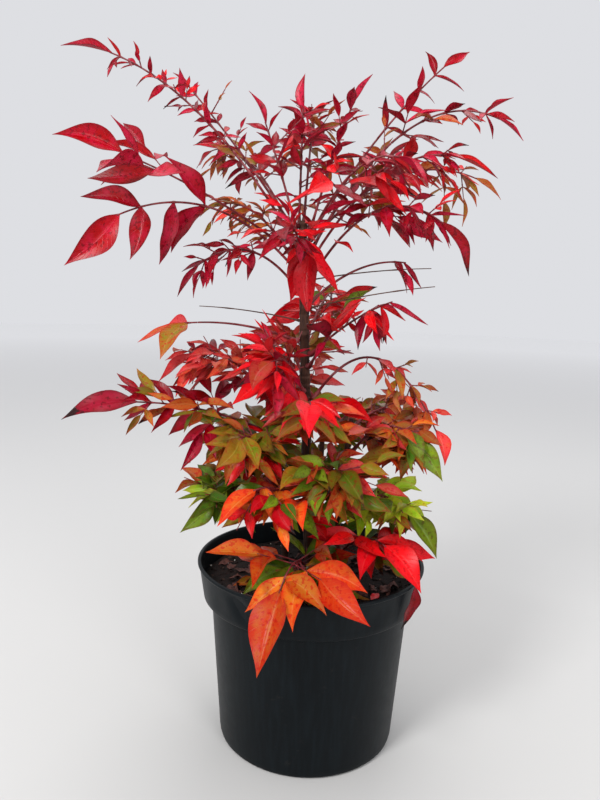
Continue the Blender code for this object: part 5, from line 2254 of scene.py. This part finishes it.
@dataclass(frozen=True)
class Studio:
    """The pale floor, soft lights and the camera at the photograph's angle."""

    floor_radius: float = 6.0
    floor_drop: float = 0.2 * MM
    floor_near: str = "#c2c1bf"
    floor_far: str = "#fcfcfc"
    fade_radius: float = 4.5
    backdrop: str = "#e2e3e7"
    backdrop_strength: float = 0.96
    softboxes: tuple[Softbox, ...] = (
        Softbox("key_softbox", (-0.8, -1.1, 1.4), 0.42, 21.0),
        Softbox("fill_softbox", (0.7, -1.3, 0.8), 0.5, 8.0),
        Softbox("top_softbox", (0.1, 0.5, 1.7), 0.8, 9.0),
    )
    camera_place: tuple[float, float, float] = (-0.0133, -0.566, 0.378)
    camera_pitch: float = 80.9
    camera_roll: float = 1.8
    lens_mm: float = 31.5
    sensor_mm: float = 36.0
    nearest: float = 0.01

    def build(self) -> None:
        """Set up the floor, the world, the lights and the camera."""
        self.lay_floor()
        world = bpy.data.worlds.new("soft_room")
        world.use_nodes = True
        background = world.node_tree.nodes["Background"]
        background.inputs["Color"].default_value = linear(self.backdrop)
        background.inputs["Strength"].default_value = self.backdrop_strength
        bpy.context.scene.world = world
        bpy.context.scene.view_settings.view_transform = "Standard"
        for softbox in self.softboxes:
            softbox.hang()
        self.add_camera()

    def lay_floor(self) -> None:
        """Lay a round sheet of matt paper just under the pot."""
        shape = bmesh.new()
        bmesh.ops.create_circle(shape, cap_ends=True, segments=96, radius=self.floor_radius)
        bmesh.ops.translate(shape, vec=(0.0, 0.0, -self.floor_drop), verts=shape.verts[:])
        paper = MattPaper("matt_studio_floor", self.floor_near, self.floor_far, self.fade_radius)
        mesh = mesh_of("studio_floor", shape)
        mesh.materials.append(paper.material())
        floor = add_object("studio_floor", mesh)

    def add_camera(self) -> None:
        """Place the camera and make it the scene's own."""
        lens = bpy.data.cameras.new("photo_camera")
        lens.lens = self.lens_mm
        lens.sensor_width = self.sensor_mm
        lens.clip_start = self.nearest
        camera = add_object("photo_camera", lens)
        pitch = Matrix.Rotation(math.radians(self.camera_pitch), 4, "X")
        roll = Matrix.Rotation(math.radians(self.camera_roll), 4, "Z")
        camera.matrix_world = Matrix.Translation(self.camera_place) @ pitch @ roll
        bpy.context.scene.camera = camera


# What each spray grows beyond its solid. The others grow young stalks alone
FILLINGS: dict[str, Filling] = {
    "long_left": Filling(9, (Tint.SCARLET,), 0.1, 0.2, 0, (0.45, 0.97)),
    "second_left": Filling(3, (Tint.BRONZE,), 0.0, 0.3, 0, (0.45, 0.97)),
    "high_right": Filling(young=0),
    "far_right": Filling(6, (Tint.SCARLET, Tint.BRONZE), 0.1, 0.4, 0),
    "mid_right": Filling(3, (Tint.SCARLET,), 0.2, 0.3),
    "large_upper": Filling(young=0),
    "large_lower": Filling(young=0),
    "top_left": Filling(4, (Tint.SCARLET,), 0.15, 0.2, 0),
    "top_middle": Filling(6, (Tint.SCARLET,), 0.15, 0.2, 0),
    "top_right": Filling(6, (Tint.SCARLET,), 0.15, 0.2, 0),
    "front_high": Filling(6, (Tint.SCARLET,), 0.4, 0.4, 0),
    "back_high": Filling(6, (Tint.BRONZE,), 0.1, 0.6),
    "back_left": Filling(6, (Tint.BRONZE,), 0.1, 0.6),
    "back_right": Filling(6, (Tint.BRONZE,), 0.1, 0.6),
    "olive_left": Filling(14, (Tint.BRONZE, Tint.SALMON), 0.4, 0.5),
    "olive_right": Filling(12, (Tint.BRONZE, Tint.SALMON), 0.4, 0.5),
    "front_middle": Filling(4, (Tint.SCARLET,), 0.3, 0.3),
    "trailing_right": Filling(5, (Tint.SALMON, Tint.BRONZE), 0.4, 0.5),
    "low_right": Filling(2, (Tint.SCARLET,), 0.1, 0.3, slim=True),
    "column_front": Filling(0, (Tint.SCARLET,), 1.0, 1.0, 0),
    "upright_right": Filling(2, (Tint.SCARLET,), 0.8, 0.5, 0),
    "clasp_right": Filling(2, (Tint.SCARLET,), 0.4, 0.5, 0),
    "bare_left": Filling(0, (Tint.BRONZE,), 0.4, 0.0, 0),
    "low_left_arm": Filling(4, (Tint.BRONZE, Tint.OLIVE), 0.2, 0.9, slim=True),
    "red_top": Filling(12, (Tint.SALMON, Tint.CRIMSON), 0.4, 0.7),
    "red_left": Filling(14, (Tint.SALMON, Tint.CRIMSON), 0.5, 0.6),
    "red_front": Filling(20, (Tint.BRONZE, Tint.OLIVE, Tint.SALMON), 0.35, 0.85),
    "green_left": Filling(20, (Tint.OLIVE, Tint.BRONZE, Tint.LIME), 0.3, 0.5),
    "green_middle": Filling(24, (Tint.BRONZE, Tint.OLIVE, Tint.SCARLET), 0.35, 0.6),
    "orange_front": Filling(20, (Tint.GREEN, Tint.OLIVE, Tint.SCARLET), 0.25, 0.75),
    "olive_front": Filling(26, (Tint.GREEN, Tint.BRONZE, Tint.SALMON), 0.35, 0.6),
    "orange_right": Filling(26, (Tint.BRONZE, Tint.SALMON, Tint.GREEN), 0.6, 0.75),
    "lime_right": Filling(16, (Tint.GREEN, Tint.BRONZE), 0.2, 0.6),
    "side_left": Filling(14, (Tint.BRONZE, Tint.GREEN), 0.3, 0.4),
    "side_right": Filling(14, (Tint.BRONZE, Tint.SALMON), 0.3, 0.4),
    "rear_left": Filling(14, (Tint.BRONZE, Tint.OLIVE), 0.3, 0.4),
    "rear_right": Filling(14, (Tint.OLIVE, Tint.SALMON), 0.3, 0.4),
    "rear_middle": Filling(12, (Tint.BRONZE, Tint.GREEN), 0.3, 0.4),
    "rear_red": Filling(12, (Tint.OLIVE, Tint.BRONZE), 0.3, 0.5),
    "rear_low": Filling(14, (Tint.GREEN, Tint.OLIVE), 0.3, 0.5),
    "spill_front": Filling(22, (Tint.OLIVE, Tint.GREEN, Tint.SALMON), 0.0, 0.85, 0, (0.02, 0.42)),
    "spill_right": Filling(14, (Tint.GREEN, Tint.OLIVE), 0.0, 0.85, 0, (0.02, 0.38)),
}


def main() -> None:
    """Build the pot, the compost, the stems and every spray, then the studio."""
    logging.basicConfig(level=logging.INFO, format="%(message)s")
    canes, blade, pot = Canes(), Blade(), Pot()
    pot.build()
    Compost(pot, canes, blade).build()
    BarkedStem(Stem.CANE, canes).build()
    for stem in canes.side_stems:
        BarkedStem(stem, canes, sides=16, ring_gap=13.0 * MM, ridges=6).build()
    stalks = bmesh.new()
    for stalk in SPENT_STALKS:
        stalk.add_to(stalks, canes)
    make_piece("spent_stalks", stalks, DRY_FINISH)
    reach = Reach(frame["nodes"])
    for leaf in COMPOUND_LEAVES:
        Spray(leaf, canes, reach, blade, FILLINGS.get(leaf.name, Filling())).build()
    Studio().build()
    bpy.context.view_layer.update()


if __name__ == "__main__":
    main()
